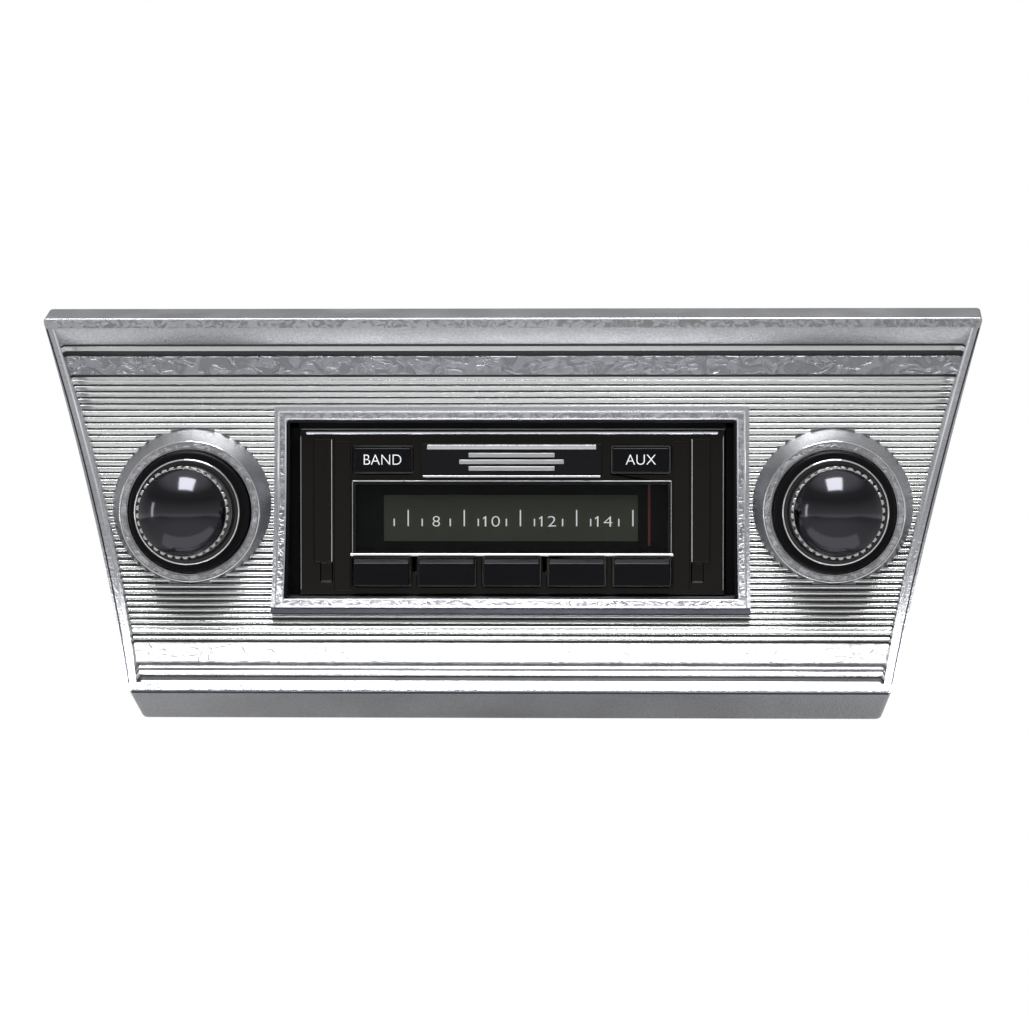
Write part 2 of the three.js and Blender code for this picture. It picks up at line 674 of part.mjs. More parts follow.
/** A board with a switch behind each cap, on two pillars that stand off the chassis front. */
function switchBoard(centres, switchZ, bottom, top) {
  const front = switchFront() + SWITCH_DEPTH;
  let board = block([-BOARD_HALF_WIDTH, BOARD_HALF_WIDTH], [front, front + BOARD_THICKNESS], [bottom, top]);
  centres.forEach((x) => {
    board = board.add(block(
      [x - SWITCH_WIDTH / 2, x + SWITCH_WIDTH / 2],
      [switchFront(), front + BOARD_THICKNESS / 2],
      [switchZ - SWITCH_HEIGHT / 2, switchZ + SWITCH_HEIGHT / 2],
    ));
  });
  [-BOARD_PILLAR_X, BOARD_PILLAR_X].forEach((x) => {
    const reach = [PLATE_BACK + GAP, front + BOARD_THICKNESS / 2];
    board = board.add(rodY(BOARD_PILLAR_RADIUS, reach, x, (bottom + top) / 2, 16));
  });
  return board;
}

function noseShell() {
  const width = [-NOSE_HALF_WIDTH, NOSE_HALF_WIDTH];
  const front = [NOSE_FRONT - BEYOND, NOSE_INSIDE + BEYOND];
  let shell = block(width, [NOSE_FRONT, NOSE_BACK], [NOSE_BOTTOM, NOSE_TOP]);
  shell = shell.subtract(block(
    width.map((x) => x - Math.sign(x) * NOSE_WALL),
    [NOSE_INSIDE, NOSE_BACK + BEYOND],
    [NOSE_BOTTOM + NOSE_WALL, NOSE_TOP - NOSE_WALL],
  ));
  shell = shell.subtract(block(
    [-WINDOW_HALF_WIDTH, WINDOW_HALF_WIDTH],
    front,
    [WINDOW_BOTTOM, WINDOW_TOP],
  ));
  buttonCentres.forEach((x) => {
    shell = shell.subtract(block(
      [x - BUTTON_WIDTH / 2 - RUN, x + BUTTON_WIDTH / 2 + RUN],
      front,
      [BUTTON_BOTTOM - RUN, BUTTON_TOP + RUN],
    ));
  });
  [-1, 1].forEach((side) => {
    const key = side * KEY_CENTRE_X;
    const pocket = [side * POCKET_INNER_X, side * POCKET_OUTER_X].sort((a, b) => a - b);
    shell = shell.subtract(block(
      [key - KEY_WIDTH / 2 - RUN, key + KEY_WIDTH / 2 + RUN],
      front,
      [KEY_BOTTOM - RUN, KEY_TOP + RUN],
    ));
    shell = shell.subtract(block(
      pocket,
      [NOSE_FRONT - BEYOND, NOSE_FRONT + POCKET_DEPTH],
      [POCKET_BOTTOM, POCKET_TOP],
    ));
  });
  return shell;
}

function nose() {
  const group = new THREE.Group();
  const lens = block(
    [-WINDOW_HALF_WIDTH + GAP, WINDOW_HALF_WIDTH - GAP],
    [NOSE_FRONT + LENS_INSET, NOSE_INSIDE],
    [WINDOW_BOTTOM + GAP, WINDOW_TOP - GAP],
  );
  const badge = block(
    [-BADGE_HALF_WIDTH, BADGE_HALF_WIDTH],
    [NOSE_FRONT - GAP - BADGE_THICKNESS, NOSE_FRONT - GAP],
    [BADGE_BOTTOM, BADGE_TOP],
  );
  const dialTop = ARM_BOTTOM - RUN;
  const dial = block(
    [-WINDOW_HALF_WIDTH - 2, WINDOW_HALF_WIDTH + 2],
    [DIAL_FRONT, DIAL_FRONT + DIAL_THICKNESS],
    [WINDOW_BOTTOM - 0.6, dialTop],
  );
  piece(group, 'nose_shell', noseShell(), LOOKS.nose);
  piece(group, 'window_lens', lens, LOOKS.lens);
  piece(group, 'badge_plate', badge, LOOKS.badge);
  piece(group, 'dial_plate', dial, LOOKS.dial);
  buttonCentres.forEach((x, i) => {
    const button = cap(x, BUTTON_WIDTH, BUTTON_BOTTOM, BUTTON_TOP, BUTTON_FRONT, BUTTON_BEVEL, BUTTON_TRAVEL);
    piece(group, `preset_button_${i + 1}`, button, LOOKS.key);
  });
  [['band_key', -KEY_CENTRE_X], ['aux_key', KEY_CENTRE_X]].forEach(([name, x]) => {
    const key = cap(x, KEY_WIDTH, KEY_BOTTOM, KEY_TOP, KEY_FRONT, KEY_BEVEL, KEY_TRAVEL);
    piece(group, name, key, LOOKS.key);
  });
  const presetBoard = switchBoard(buttonCentres, BUTTON_CENTRE_Z, PRESET_BOARD_BOTTOM, PRESET_BOARD_TOP);
  const keyBoard = switchBoard([-KEY_CENTRE_X, KEY_CENTRE_X], KEY_CENTRE_Z, KEY_BOARD_BOTTOM, KEY_BOARD_TOP);
  piece(group, 'preset_switch_board', presetBoard, LOOKS.board);
  piece(group, 'key_switch_board', keyBoard, LOOKS.board);
  return group;
}

// ---------------------------------------------------------------------------------------
// The dial drive
// ---------------------------------------------------------------------------------------

/** The pointer, its arm over the top of the dial, and the carriage that slides on the rail. */
function dialPointer() {
  const half = CARRIAGE_SIZE / 2;
  const across = (width) => [-width / 2, width / 2];
  const needle = block(
    across(POINTER_WIDTH),
    [POINTER_FRONT, POINTER_FRONT + POINTER_THICKNESS],
    [POINTER_BOTTOM, ARM_TOP],
  );
  const arm = block(across(ARM_WIDTH), [POINTER_FRONT, RAIL_Y - half + BEYOND], [ARM_BOTTOM, ARM_TOP]);
  const carriage = block(
    across(CARRIAGE_WIDTH),
    [RAIL_Y - half, RAIL_Y + half],
    [RAIL_Z - half, RAIL_Z + half],
  );
  const cordTop = CORD_RADIUS + CORD_SIZE / 2;
  const tab = block(
    across(CARRIAGE_WIDTH * 0.75),
    [RAIL_Y + half - BEYOND, CORD_Y + CORD_SIZE],
    [cordTop + GAP, RAIL_Z],
  );
  const bore = rodX(RAIL_RADIUS + GAP, [-CARRIAGE_WIDTH, CARRIAGE_WIDTH], RAIL_Y, RAIL_Z);
  return needle.add(arm).add(carriage).add(tab).subtract(bore);
}

/** The cord's loop, round the drum and the idler. */
function dialCord() {
  const loop = (radius) => {
    const outline = new THREE.Path();
    outline.absarc(SHAFT_X, 0, radius, -Math.PI / 2, Math.PI / 2, false);
    outline.absarc(IDLER_X, 0, radius, Math.PI / 2, (3 * Math.PI) / 2, false);
    return outline.getPoints(16);
  };
  const shape = new THREE.Shape(loop(CORD_RADIUS + CORD_SIZE / 2));
  shape.holes.push(new THREE.Path(loop(CORD_RADIUS - CORD_SIZE / 2)));
  return alongY(shape, [CORD_Y - CORD_SIZE / 2, CORD_Y + CORD_SIZE / 2]);
}

function dialDrive() {
  const group = new THREE.Group();
  const pointer = new THREE.Group();
  const idler = new THREE.Group();
  pointer.position.x = POINTER_X;
  idler.position.x = IDLER_X;
  group.add(pointer, idler);
  piece(pointer, 'dial_pointer', dialPointer(), LOOKS.pointer);
  piece(idler, 'idler_pulley', pulley(IDLER_PIN_RADIUS + GAP), LOOKS.plastic);
  const pinReach = [PLATE_BACK + GAP, CORD_Y + PULLEY_THICKNESS / 2 + 1];
  piece(idler, 'idler_pin', rodY(IDLER_PIN_RADIUS, pinReach, 0, 0, 16), LOOKS.steel);
  piece(group, 'dial_cord', dialCord(), LOOKS.cord);

  const railReach = [-RAIL_HALF_LENGTH, RAIL_HALF_LENGTH];
  piece(group, 'pointer_rail', rodX(RAIL_RADIUS, railReach, RAIL_Y, RAIL_Z), LOOKS.steel);
  [['rail_bracket_left', -1], ['rail_bracket_right', 1]].forEach(([name, side]) => {
    const inner = RAIL_HALF_LENGTH + GAP;
    const span = [side * inner, side * (inner + RAIL_BRACKET_THICKNESS)].sort((a, b) => a - b);
    const half = RAIL_RADIUS + 1.5;
    const bracket = block(span, [PLATE_BACK + GAP, RAIL_Y + half], [RAIL_Z - half, RAIL_Z + half]);
    piece(group, name, bracket, LOOKS.zinc);
  });

  const lampBoard = block([-28, 28], [PLATE_BACK + 1, PLATE_BACK + 1 + BOARD_THICKNESS], [-6, 3.5]);
  piece(group, 'dial_lamp_board', lampBoard, LOOKS.board);
  return group;
}

// ---------------------------------------------------------------------------------------
// The chassis and what it holds
// ---------------------------------------------------------------------------------------

const SCREW = { radius: 1.5, headRadius: 2.6, headThickness: 1.5, y: 68, z: 22 };

function chassisTray() {
  const through = [CHASSIS_FRONT - BEYOND, PLATE_BACK + BEYOND];
  const width = CHASSIS_HALF_WIDTH;
  let tray = block([-width, width], [CHASSIS_FRONT, CHASSIS_BACK], [CHASSIS_BOTTOM, CHASSIS_TOP]);
  tray = tray.subtract(block(
    [-width + SHEET, width - SHEET],
    [PLATE_BACK, CHASSIS_BACK + BEYOND],
    [CHASSIS_BOTTOM + SHEET, CHASSIS_TOP + BEYOND],
  ));
  const slotEnd = POINTER_X + ARM_WIDTH / 2 + 2 * RUN;
  tray = tray.subtract(block([-slotEnd, slotEnd], through, [ARM_BOTTOM - RUN, ARM_TOP + RUN]));
  tray = tray.subtract(block([-30, 30], through, [-7, ARM_BOTTOM - RUN - 2]));
  [-SHAFT_X, SHAFT_X].forEach((x) => {
    tray = tray.subtract(rodY(BUSHING_HOLE, through, x));
  });
  buttonCentres.forEach((x) => {
    tray = tray.subtract(stemHole(x, BUTTON_CENTRE_Z));
  });
  [-KEY_CENTRE_X, KEY_CENTRE_X].forEach((x) => {
    tray = tray.subtract(stemHole(x, KEY_CENTRE_Z));
  });
  const screwHoles = rodX(SCREW.radius + GAP, [-2 * width, 2 * width], SCREW.y, SCREW.z, 16);
  return tray.subtract(screwHoles);
}

function topCover() {
  const inner = CHASSIS_HALF_WIDTH + GAP;
  const outer = inner + COVER_SHEET;
  const top = COVER_BOTTOM + COVER_SHEET;
  const length = [CHASSIS_FRONT, CHASSIS_BACK];
  let cover = block([-outer, outer], length, [top - COVER_LIP, top]);
  cover = cover.subtract(block(
    [-inner, inner],
    [CHASSIS_FRONT - BEYOND, CHASSIS_BACK + BEYOND],
    [top - COVER_LIP - BEYOND, COVER_BOTTOM],
  ));
  const slots = 9;
  for (let i = 0; i < slots; i += 1) {
    const x = (i - (slots - 1) / 2) * 12;
    cover = cover.subtract(block([x - 1.5, x + 1.5], [62, 102], [COVER_BOTTOM - BEYOND, top + BEYOND]));
  }
  const screwHoles = rodX(SCREW.radius + GAP, [-2 * outer, 2 * outer], SCREW.y, SCREW.z, 16);
  return cover.subtract(screwHoles);
}

/** A screw through the side of the cover into the tray; side is -1 on the left, 1 on the right. */
function coverScrew(side) {
  const under = CHASSIS_HALF_WIDTH + GAP + COVER_SHEET + GAP;
  const along = (from, to) => [side * from, side * to].sort((a, b) => a - b);
  const inside = CHASSIS_HALF_WIDTH - SHEET - 1;
  const shank = rodX(SCREW.radius, along(inside, under + 0.5), SCREW.y, SCREW.z, 16);
  const head = rodX(SCREW.headRadius, along(under, under + SCREW.headThickness), SCREW.y, SCREW.z);
  return shank.add(head);
}

const SUPPLY_BOTTOM = ON_BOARD;
const SUPPLY_TOP = SUPPLY_BOTTOM + SUPPLY_CAVITY.height + 2 * SUPPLY_WALL;
const SUPPLY_HALF_WIDTH = SUPPLY_CAVITY.width / 2 + SUPPLY_WALL;
const SUPPLY_BACK = CHASSIS_BACK + 3;

/** The supply and loudspeaker connector: a housing open at the back. */
function supplyConnector() {
  const cavityFront = SUPPLY_BACK - SUPPLY_CAVITY.depth;
  const half = SUPPLY_CAVITY.width / 2;
  const housing = block(
    [SUPPLY_CENTRE_X - SUPPLY_HALF_WIDTH, SUPPLY_CENTRE_X + SUPPLY_HALF_WIDTH],
    [cavityFront - SUPPLY_WALL, SUPPLY_BACK],
    [SUPPLY_BOTTOM, SUPPLY_TOP],
  );
  return housing.subtract(block(
    [SUPPLY_CENTRE_X - half, SUPPLY_CENTRE_X + half],
    [cavityFront, SUPPLY_BACK + BEYOND],
    [SUPPLY_BOTTOM + SUPPLY_WALL, SUPPLY_TOP - SUPPLY_WALL],
  ));
}

/** The aerial socket: a barrel with a blind bore and a flange outside the rear panel. */
function aerialSocket() {
  const back = CHASSIS_BACK + 6;
  const front = back - AERIAL_BORE_DEPTH - 2;
  const flange = AERIAL_RADIUS + 2.5;
  return turned([
    [0, front],
    [AERIAL_RADIUS, front],
    [AERIAL_RADIUS, OUTSIDE_BACK],
    [flange, OUTSIDE_BACK],
    [flange, OUTSIDE_BACK + 1.5],
    [AERIAL_RADIUS, OUTSIDE_BACK + 1.5],
    [AERIAL_RADIUS, back],
    [AERIAL_BORE_RADIUS, back],
    [AERIAL_BORE_RADIUS, back - AERIAL_BORE_DEPTH],
    [0, back - AERIAL_BORE_DEPTH],
  ], 24);
}

/** The stud that a rear strap bolts to, with its flange outside the rear panel. */
function supportStud() {
  const flange = [OUTSIDE_BACK, OUTSIDE_BACK + 2.5];
  const stem = rodY(STUD_RADIUS, [REAR_PANEL_FRONT - 3, CHASSIS_BACK + STUD_LENGTH], 0, 0, 24);
  return stem.add(rodY(STUD_RADIUS + 4, flange, 0, 0, 6));
}

function rearPanel() {
  const halfWidth = CHASSIS_HALF_WIDTH - SHEET - GAP;
  const through = [REAR_PANEL_FRONT - BEYOND, REAR_PANEL_BACK + BEYOND];
  const panel = block(
    [-halfWidth, halfWidth],
    [REAR_PANEL_FRONT, REAR_PANEL_BACK],
    [CHASSIS_BOTTOM + SHEET + GAP, CHASSIS_TOP - GAP],
  );
  const supply = block(
    [SUPPLY_CENTRE_X - SUPPLY_HALF_WIDTH - GAP, SUPPLY_CENTRE_X + SUPPLY_HALF_WIDTH + GAP],
    through,
    [SUPPLY_BOTTOM - GAP, SUPPLY_TOP + GAP],
  );
  const aerial = rodY(AERIAL_RADIUS + GAP, through, AERIAL_X);
  const stud = rodY(STUD_RADIUS + GAP, through, STUD_X, STUD_Z, 24);
  return panel.subtract(supply).subtract(aerial).subtract(stud);
}

/** The finned heat sink: a comb of upright fins on a base, drawn out along Z. */
function heatSink() {
  const base = OUTSIDE_BACK + HEAT_SINK_BASE;
  const tip = OUTSIDE_BACK + HEAT_SINK_DEPTH;
  const pitch = (HEAT_SINK_RIGHT - HEAT_SINK_LEFT - FIN_THICKNESS) / (FIN_COUNT - 1);
  const height = [CHASSIS_BOTTOM + 1, CHASSIS_TOP - 1];
  let sink = block([HEAT_SINK_LEFT, HEAT_SINK_RIGHT], [OUTSIDE_BACK, base], height);
  for (let i = 0; i < FIN_COUNT; i += 1) {
    const x = HEAT_SINK_LEFT + i * pitch;
    sink = sink.add(block([x, x + FIN_THICKNESS], [base - BEYOND, tip], height));
  }
  return sink;
}

/** The main circuit board on four pillars. */
function mainBoard() {
  const bottom = MAIN_BOARD_TOP - BOARD_THICKNESS;
  let board = block(
    [-MAIN_BOARD_HALF_WIDTH, MAIN_BOARD_HALF_WIDTH],
    [MAIN_BOARD_FRONT, MAIN_BOARD_BACK],
    [bottom, MAIN_BOARD_TOP],
  );
  [-1, 1].forEach((side) => {
    [MAIN_BOARD_FRONT + 6, MAIN_BOARD_BACK - 6].forEach((y) => {
      const reach = [CHASSIS_BOTTOM + SHEET + GAP, bottom + BOARD_THICKNESS / 2];
      board = board.add(rodZ(3, reach, side * (MAIN_BOARD_HALF_WIDTH - 6), y, 12));
    });
  });
  return board;
}

/** The output choke: a laminated core with the bobbin standing out on both sides. */
function outputChoke() {
  const core = block([-15, 15], [-9, 9], [ON_BOARD, ON_BOARD + 26]);
  const bobbin = block([-9, 9], [-14, 14], [ON_BOARD + 5, ON_BOARD + 21]);
  return core.add(bobbin);
}

function chassis() {
  const group = new THREE.Group();
  piece(group, 'chassis_tray', chassisTray(), LOOKS.zinc);
  piece(group, 'top_cover', topCover(), LOOKS.zinc);
  piece(group, 'cover_screw_left', coverScrew(-1), LOOKS.steel);
  piece(group, 'cover_screw_right', coverScrew(1), LOOKS.steel);
  piece(group, 'rear_panel', rearPanel(), LOOKS.zinc);
  piece(group, 'heat_sink', heatSink(), LOOKS.aluminium);

  const aerial = new THREE.Group();
  aerial.position.x = AERIAL_X;
  piece(aerial, 'aerial_socket', aerialSocket(), LOOKS.steel);
  const stud = new THREE.Group();
  stud.position.set(STUD_X, 0, STUD_Z);
  piece(stud, 'rear_support_stud', supportStud(), LOOKS.steel);
  const choke = new THREE.Group();
  choke.position.set(-64, 88, 0);
  piece(choke, 'output_choke', outputChoke(), LOOKS.steel);
  group.add(aerial, stud, choke);

  piece(group, 'supply_connector', supplyConnector(), LOOKS.plastic);
  piece(group, 'main_board', mainBoard(), LOOKS.board);
  piece(group, 'tuner_can', block([44, 82], [40, 90], [ON_BOARD, ON_BOARD + 24]), LOOKS.steel);
  const amplifierBack = REAR_PANEL_FRONT - GAP;
  const amplifier = block([20, 44], [amplifierBack - 5, amplifierBack], [ON_BOARD, ON_BOARD + 18]);
  piece(group, 'output_amplifier', amplifier, LOOKS.black);
  piece(group, 'filter_capacitor', rodZ(9, [ON_BOARD, ON_BOARD + 28], -8, 76), LOOKS.black);
  return group;
}

// ---------------------------------------------------------------------------------------
// The whole radio
// ---------------------------------------------------------------------------------------

const radio = new THREE.Group();
piece(radio, 'bezel_casting', bezelCasting(), LOOKS.casting);
radio.add(volumeControl(), tuningControl(), nose(), dialDrive(), chassis());

export default radio;
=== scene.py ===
"""Looks for a push-button car radio: a cast, ribbed dash bezel, a black nose and two pairs of knobs.

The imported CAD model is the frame. Sizes here are in millimetres unless a name says otherwise, and
every piece rides on the CAD body that it belongs to.
"""

import logging
import math
from collections.abc import Callable, Iterator
from contextlib import contextmanager
from dataclasses import dataclass, field
from enum import Enum

import bpy
from mathutils import Matrix, Vector


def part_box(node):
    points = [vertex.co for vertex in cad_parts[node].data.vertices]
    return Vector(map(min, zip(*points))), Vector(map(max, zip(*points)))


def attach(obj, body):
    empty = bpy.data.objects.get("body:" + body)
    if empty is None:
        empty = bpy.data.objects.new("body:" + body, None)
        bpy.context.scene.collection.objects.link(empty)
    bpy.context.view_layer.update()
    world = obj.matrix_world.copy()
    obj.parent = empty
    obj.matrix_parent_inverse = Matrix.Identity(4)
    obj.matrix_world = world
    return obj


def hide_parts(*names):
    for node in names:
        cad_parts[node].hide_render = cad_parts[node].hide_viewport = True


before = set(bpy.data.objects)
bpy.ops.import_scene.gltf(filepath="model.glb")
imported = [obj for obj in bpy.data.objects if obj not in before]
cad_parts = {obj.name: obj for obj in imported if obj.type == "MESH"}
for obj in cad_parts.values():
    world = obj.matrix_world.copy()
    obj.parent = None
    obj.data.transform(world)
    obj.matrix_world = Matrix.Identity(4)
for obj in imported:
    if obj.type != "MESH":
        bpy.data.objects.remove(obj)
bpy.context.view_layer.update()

MM = 0.001
LEVEL = 1e-7  # metres by which the two ends of a level edge may differ
LOG = logging.getLogger("car_radio")

Point = tuple[float, float, float]
Color = tuple[float, float, float]
Span = tuple[float, float]
Piece = bpy.types.Object
Tree = bpy.types.NodeTree
Socket = bpy.types.NodeSocket


class Grain(Enum):
    """The small relief that a surface has."""

    CRINKLE = "worm-like wrinkles of a cast and painted band"
    CASTING = "soft pitting of a plated die casting"
    SAND = "even sand texture"
    BRUSHED = "lines along X"
    SPANGLE = "flat crystals of zinc plating"
    MOULDED = "faint orange peel of moulded plastic"
    POLISHED = "smears and dust on a polished surface"
    BRAID = "strands of a waxed cord"


def wired(
    tree: Tree, kind: str, output: str, inputs: dict[str, object], data_type: str = ""
) -> Socket:
    """Adds a node to a tree, and sets or links its inputs.

    Args:
        tree: The node tree.
        kind: The node's type, without its prefix.
        output: The name of the output to give back.
        inputs: A plain value, or another node's output, for each named input.
        data_type: What a Mix node mixes.

    Returns:
        The output's socket.
    """
    made = tree.nodes.new(f"ShaderNode{kind}")
    if data_type:
        made.data_type = data_type
    for name, value in inputs.items():
        if isinstance(value, Socket):
            tree.links.new(value, made.inputs[name])
        else:
            made.inputs[name].default_value = value
    return made.outputs[output]


@dataclass(frozen=True)
class Finish:
    """One procedural finish: a shader with colour, gloss and relief of its own."""

    name: str
    color: Color
    roughness: float
    metallic: float = 0.0
    grain: Grain = Grain.MOULDED
    scale: float = 900.0
    depth: float = 0.02
    spread: float = 0.06
    shade: float = 0.12
    coat: float = 0.0
    alpha: float = 1.0
    glow: float = 0.0
    sheen: float = 0.5

    def material(self) -> bpy.types.Material:
        """Builds the finish's material, or finds it when it is already built.

        Returns:
            The material.
        """
        found = bpy.data.materials.get(self.name)
        if found:
            return found
        made = bpy.data.materials.new(self.name)
        made.use_nodes = True
        tree = made.node_tree
        shader = tree.nodes["Principled BSDF"]
        shader.inputs["Metallic"].default_value = self.metallic
        shader.inputs["Coat Weight"].default_value = self.coat
        shader.inputs["Coat Roughness"].default_value = 0.08
        shader.inputs["Alpha"].default_value = self.alpha
        shader.inputs["Specular IOR Level"].default_value = self.sheen
        if self.glow:
            shader.inputs["Emission Color"].default_value = (*self.color, 1.0)
            shader.inputs["Emission Strength"].default_value = self.glow
        relief = self._relief(tree)
        bump = {"Strength": 1.0, "Distance": self.depth * MM, "Height": relief}
        for name, socket in (
            ("Roughness", self._gloss(tree)),
            ("Base Color", self._tone(tree, relief)),
            ("Normal", wired(tree, "Bump", "Normal", bump)),
        ):
            tree.links.new(socket, shader.inputs[name])
        return made

    def _coordinates(self, tree: Tree, stretch: Point = (1, 1, 1)) -> Socket:
        """Object coordinates, stretched along each axis."""
        place = tree.nodes.new("ShaderNodeTexCoord").outputs["Object"]
        return wired(tree, "Mapping", "Vector", {"Vector": place, "Scale": stretch})

    def _noise(self, tree: Tree, scale: float, detail: float, stretch: Point = (1, 1, 1)) -> Socket:
        """A noise texture on Object coordinates, its scale in repeats to the metre."""
        inputs = {"Vector": self._coordinates(tree, stretch), "Scale": scale, "Detail": detail}
        return wired(tree, "TexNoise", "Fac", inputs)

    def _spread_out(
        self, tree: Tree, value: Socket, source: Span, target: Span = (0.0, 1.0)
    ) -> Socket:
        """A value carried from one span to another.

        Args:
            tree: The material's node tree.
            value: The value to carry.
            source: The span that it comes from.
            target: The span that it is spread over.

        Returns:
            The new value's socket.
        """
        spans = dict(zip(("From Min", "From Max", "To Min", "To Max"), (*source, *target)))
        return wired(tree, "MapRange", "Result", {"Value": value, **spans})

    def _relief(self, tree: Tree) -> Socket:
        """The height that the finish's grain gives.

        Args:
            tree: The material's node tree.

        Returns:
            The height's socket.
        """
        if self.grain is Grain.CRINKLE:
            folds = {"Vector": self._coordinates(tree, (0.7, 1, 1)), "Scale": self.scale}
            folds |= {"Detail": 5.0, "Distortion": 1.5}
            wrinkles = wired(tree, "TexNoise", "Fac", folds)
            return self._spread_out(tree, wrinkles, (0.42, 0.58))
        if self.grain is Grain.SAND:
            return self._spread_out(tree, self._noise(tree, self.scale, 2.0), (0.38, 0.62))
        if self.grain is Grain.BRUSHED:
            return self._noise(tree, self.scale, 3.0, (0.04, 1, 1))
        patterns = {Grain.SPANGLE: ("TexVoronoi", "Color"), Grain.BRAID: ("TexWave", "Fac")}
        if self.grain in patterns:
            place = {"Vector": self._coordinates(tree), "Scale": self.scale}
            return wired(tree, *patterns[self.grain], place)
        detail = {Grain.CASTING: 5.0, Grain.MOULDED: 3.0, Grain.POLISHED: 1.0}[self.grain]
        return self._noise(tree, self.scale, detail)

    def _gloss(self, tree: Tree) -> Socket:
        """A roughness that wanders a little over the surface."""
        target = (max(self.roughness - self.spread, 0.01), self.roughness + self.spread)
        return self._spread_out(tree, self._noise(tree, 70.0, 6.0), (0.3, 0.7), target)

    def _tone(self, tree: Tree, relief: Socket) -> Socket:
        """The colour, darker in the low spots of the grain."""
        dark = tuple(channel * (1 - self.shade) for channel in self.color)
        mix = {"Factor": relief, "A": (*dark, 1.0), "B": (*self.color, 1.0)}
        return wired(tree, "Mix", "Result", mix, "RGBA")


CASTING = Finish("cast_chrome", (0.54, 0.545, 0.57), 0.36, 1.0, Grain.SAND, 1700, 0.035, 0.06, 0.16)
RIBS = Finish("rib_chrome", (0.93, 0.94, 0.935), 0.24, 1.0, Grain.CASTING, 1100, 0.018, 0.05, 0.12)
# Painted shade: a dark chrome laid as thin sheets over the field and along the grooves, standing in
# for the shade inside them.
GROOVE_SHADE = Finish(
    "groove_shadow", (0.09, 0.092, 0.098), 0.5, 0.7, Grain.CASTING, 900, 0.02, 0.06, 0.3
)
# Painted shade: a near-black chrome laid as thin strips where edges and slopes face away from the
# light.
PAINTED_SHADE = Finish(
    "painted_shade_chrome", (0.06, 0.062, 0.075), 0.34, 1.0, Grain.CASTING, 700, 0.03, 0.05, 0.2
)
HAMMERED = Finish(
    "hammered_rim", (0.58, 0.58, 0.61), 0.3, 1.0, Grain.CRINKLE, 640, 0.075, 0.06, 0.4
)
CRINKLE = Finish(
    "crinkled_chrome", (0.45, 0.455, 0.49), 0.3, 1.0, Grain.CRINKLE, 300, 0.3, 0.06, 0.25
)
BAND = Finish("bright_band", (0.66, 0.66, 0.665), 0.36, 1.0, Grain.CRINKLE, 260, 0.1, 0.05, 0.3)
BRIGHT = Finish(
    "bright_chrome", (0.82, 0.82, 0.83), 0.06, 1.0, Grain.POLISHED, 500, 0.002, 0.03, 0.05
)
NOSE = Finish(
    "smoked_black", (0.008, 0.0065, 0.0045), 0.1, 0.1,
    Grain.POLISHED, 160, 0.006, 0.04, 0.2, sheen=0.18,
)
TRIM_BLACK = Finish(
    "gloss_black", (0.004, 0.004, 0.006), 0.07, 0.0,
    Grain.POLISHED, 300, 0.003, 0.04, 0.2, sheen=0.2,
)
KEYS = Finish(
    "key_black", (0.002, 0.0022, 0.004), 0.2, 0.0, Grain.MOULDED, 2600, 0.012, 0.06, 0.2, sheen=0.13
)
RING = Finish(
    "satin_black", (0.0025, 0.0025, 0.0035), 0.4, 0.0,
    Grain.MOULDED, 2400, 0.02, 0.06, 0.2, sheen=0.14,
)
DOME = Finish(
    "black_chrome", (0.055, 0.054, 0.057), 0.03, 1.0, Grain.POLISHED, 90, 0.002, 0.02, 0.1, 0.3
)
CONE = Finish("dark_skirt", (0.035, 0.035, 0.037), 0.12, 0.6, Grain.POLISHED, 400, 0.003, 0.04, 0.1)
GRIP = Finish("pale_grip", (0.62, 0.62, 0.61), 0.22, 0.85, Grain.CASTING, 1500, 0.02, 0.06, 0.2)
DIAL = Finish(
    "dial_green", (0.05, 0.058, 0.042), 0.55, 0.0, Grain.MOULDED, 3000, 0.004, 0.04, 0.1, sheen=0.2
)
MASK = Finish(
    "dial_black", (0.002, 0.002, 0.003), 0.5, 0.0, Grain.MOULDED, 3000, 0.003, 0.04, 0.1, sheen=0.1
)
# White print, partly painted light: its glow makes the print shine on its own.
GLOWING_INK = Finish(
    "ink_with_painted_glow", (0.8, 0.82, 0.84), 0.6, 0.0,
    Grain.MOULDED, 4000, 0.002, 0.03, 0.05, glow=0.35, sheen=0.2,
)
NEEDLE = Finish("needle_red", (0.1, 0.01, 0.009), 0.4, 0.0, Grain.MOULDED, 2000, 0.004, 0.05, 0.1)
LENS = Finish(
    "window_tint", (0.01, 0.011, 0.011), 0.03, 0.0, Grain.POLISHED, 120, 0.001, 0.02, 0.1,
    alpha=0.12, sheen=0.2,
)
# Painted highlight: a whiter, bluish chrome laid as thin strips along edges, standing in for the
# highlights that they catch.
PAINTED_HIGHLIGHT = Finish("painted_highlight_chrome", (0.92, 0.94, 1.0), 0.26, 1.0, Grain.POLISHED, 500, 0.002, 0.04, 0.05)
BADGE_SILVER = Finish(
    "badge_silver", (0.6, 0.6, 0.61), 0.3, 1.0, Grain.BRUSHED, 2500, 0.004, 0.05, 0.15
)
ZINC = Finish("zinc_sheet", (0.56, 0.565, 0.54), 0.34, 1.0, Grain.SPANGLE, 160, 0.004, 0.03, 0.14)
STEEL = Finish(
    "bright_steel", (0.6, 0.605, 0.61), 0.26, 1.0, Grain.BRUSHED, 1400, 0.006, 0.06, 0.12
)
BRASS = Finish(
    "flashed_brass", (0.6, 0.47, 0.24), 0.28, 1.0, Grain.BRUSHED, 1600, 0.005, 0.06, 0.12
)
ALLOY = Finish(
    "extruded_alloy", (0.55, 0.56, 0.57), 0.36, 1.0, Grain.BRUSHED, 1200, 0.01, 0.06, 0.14
)
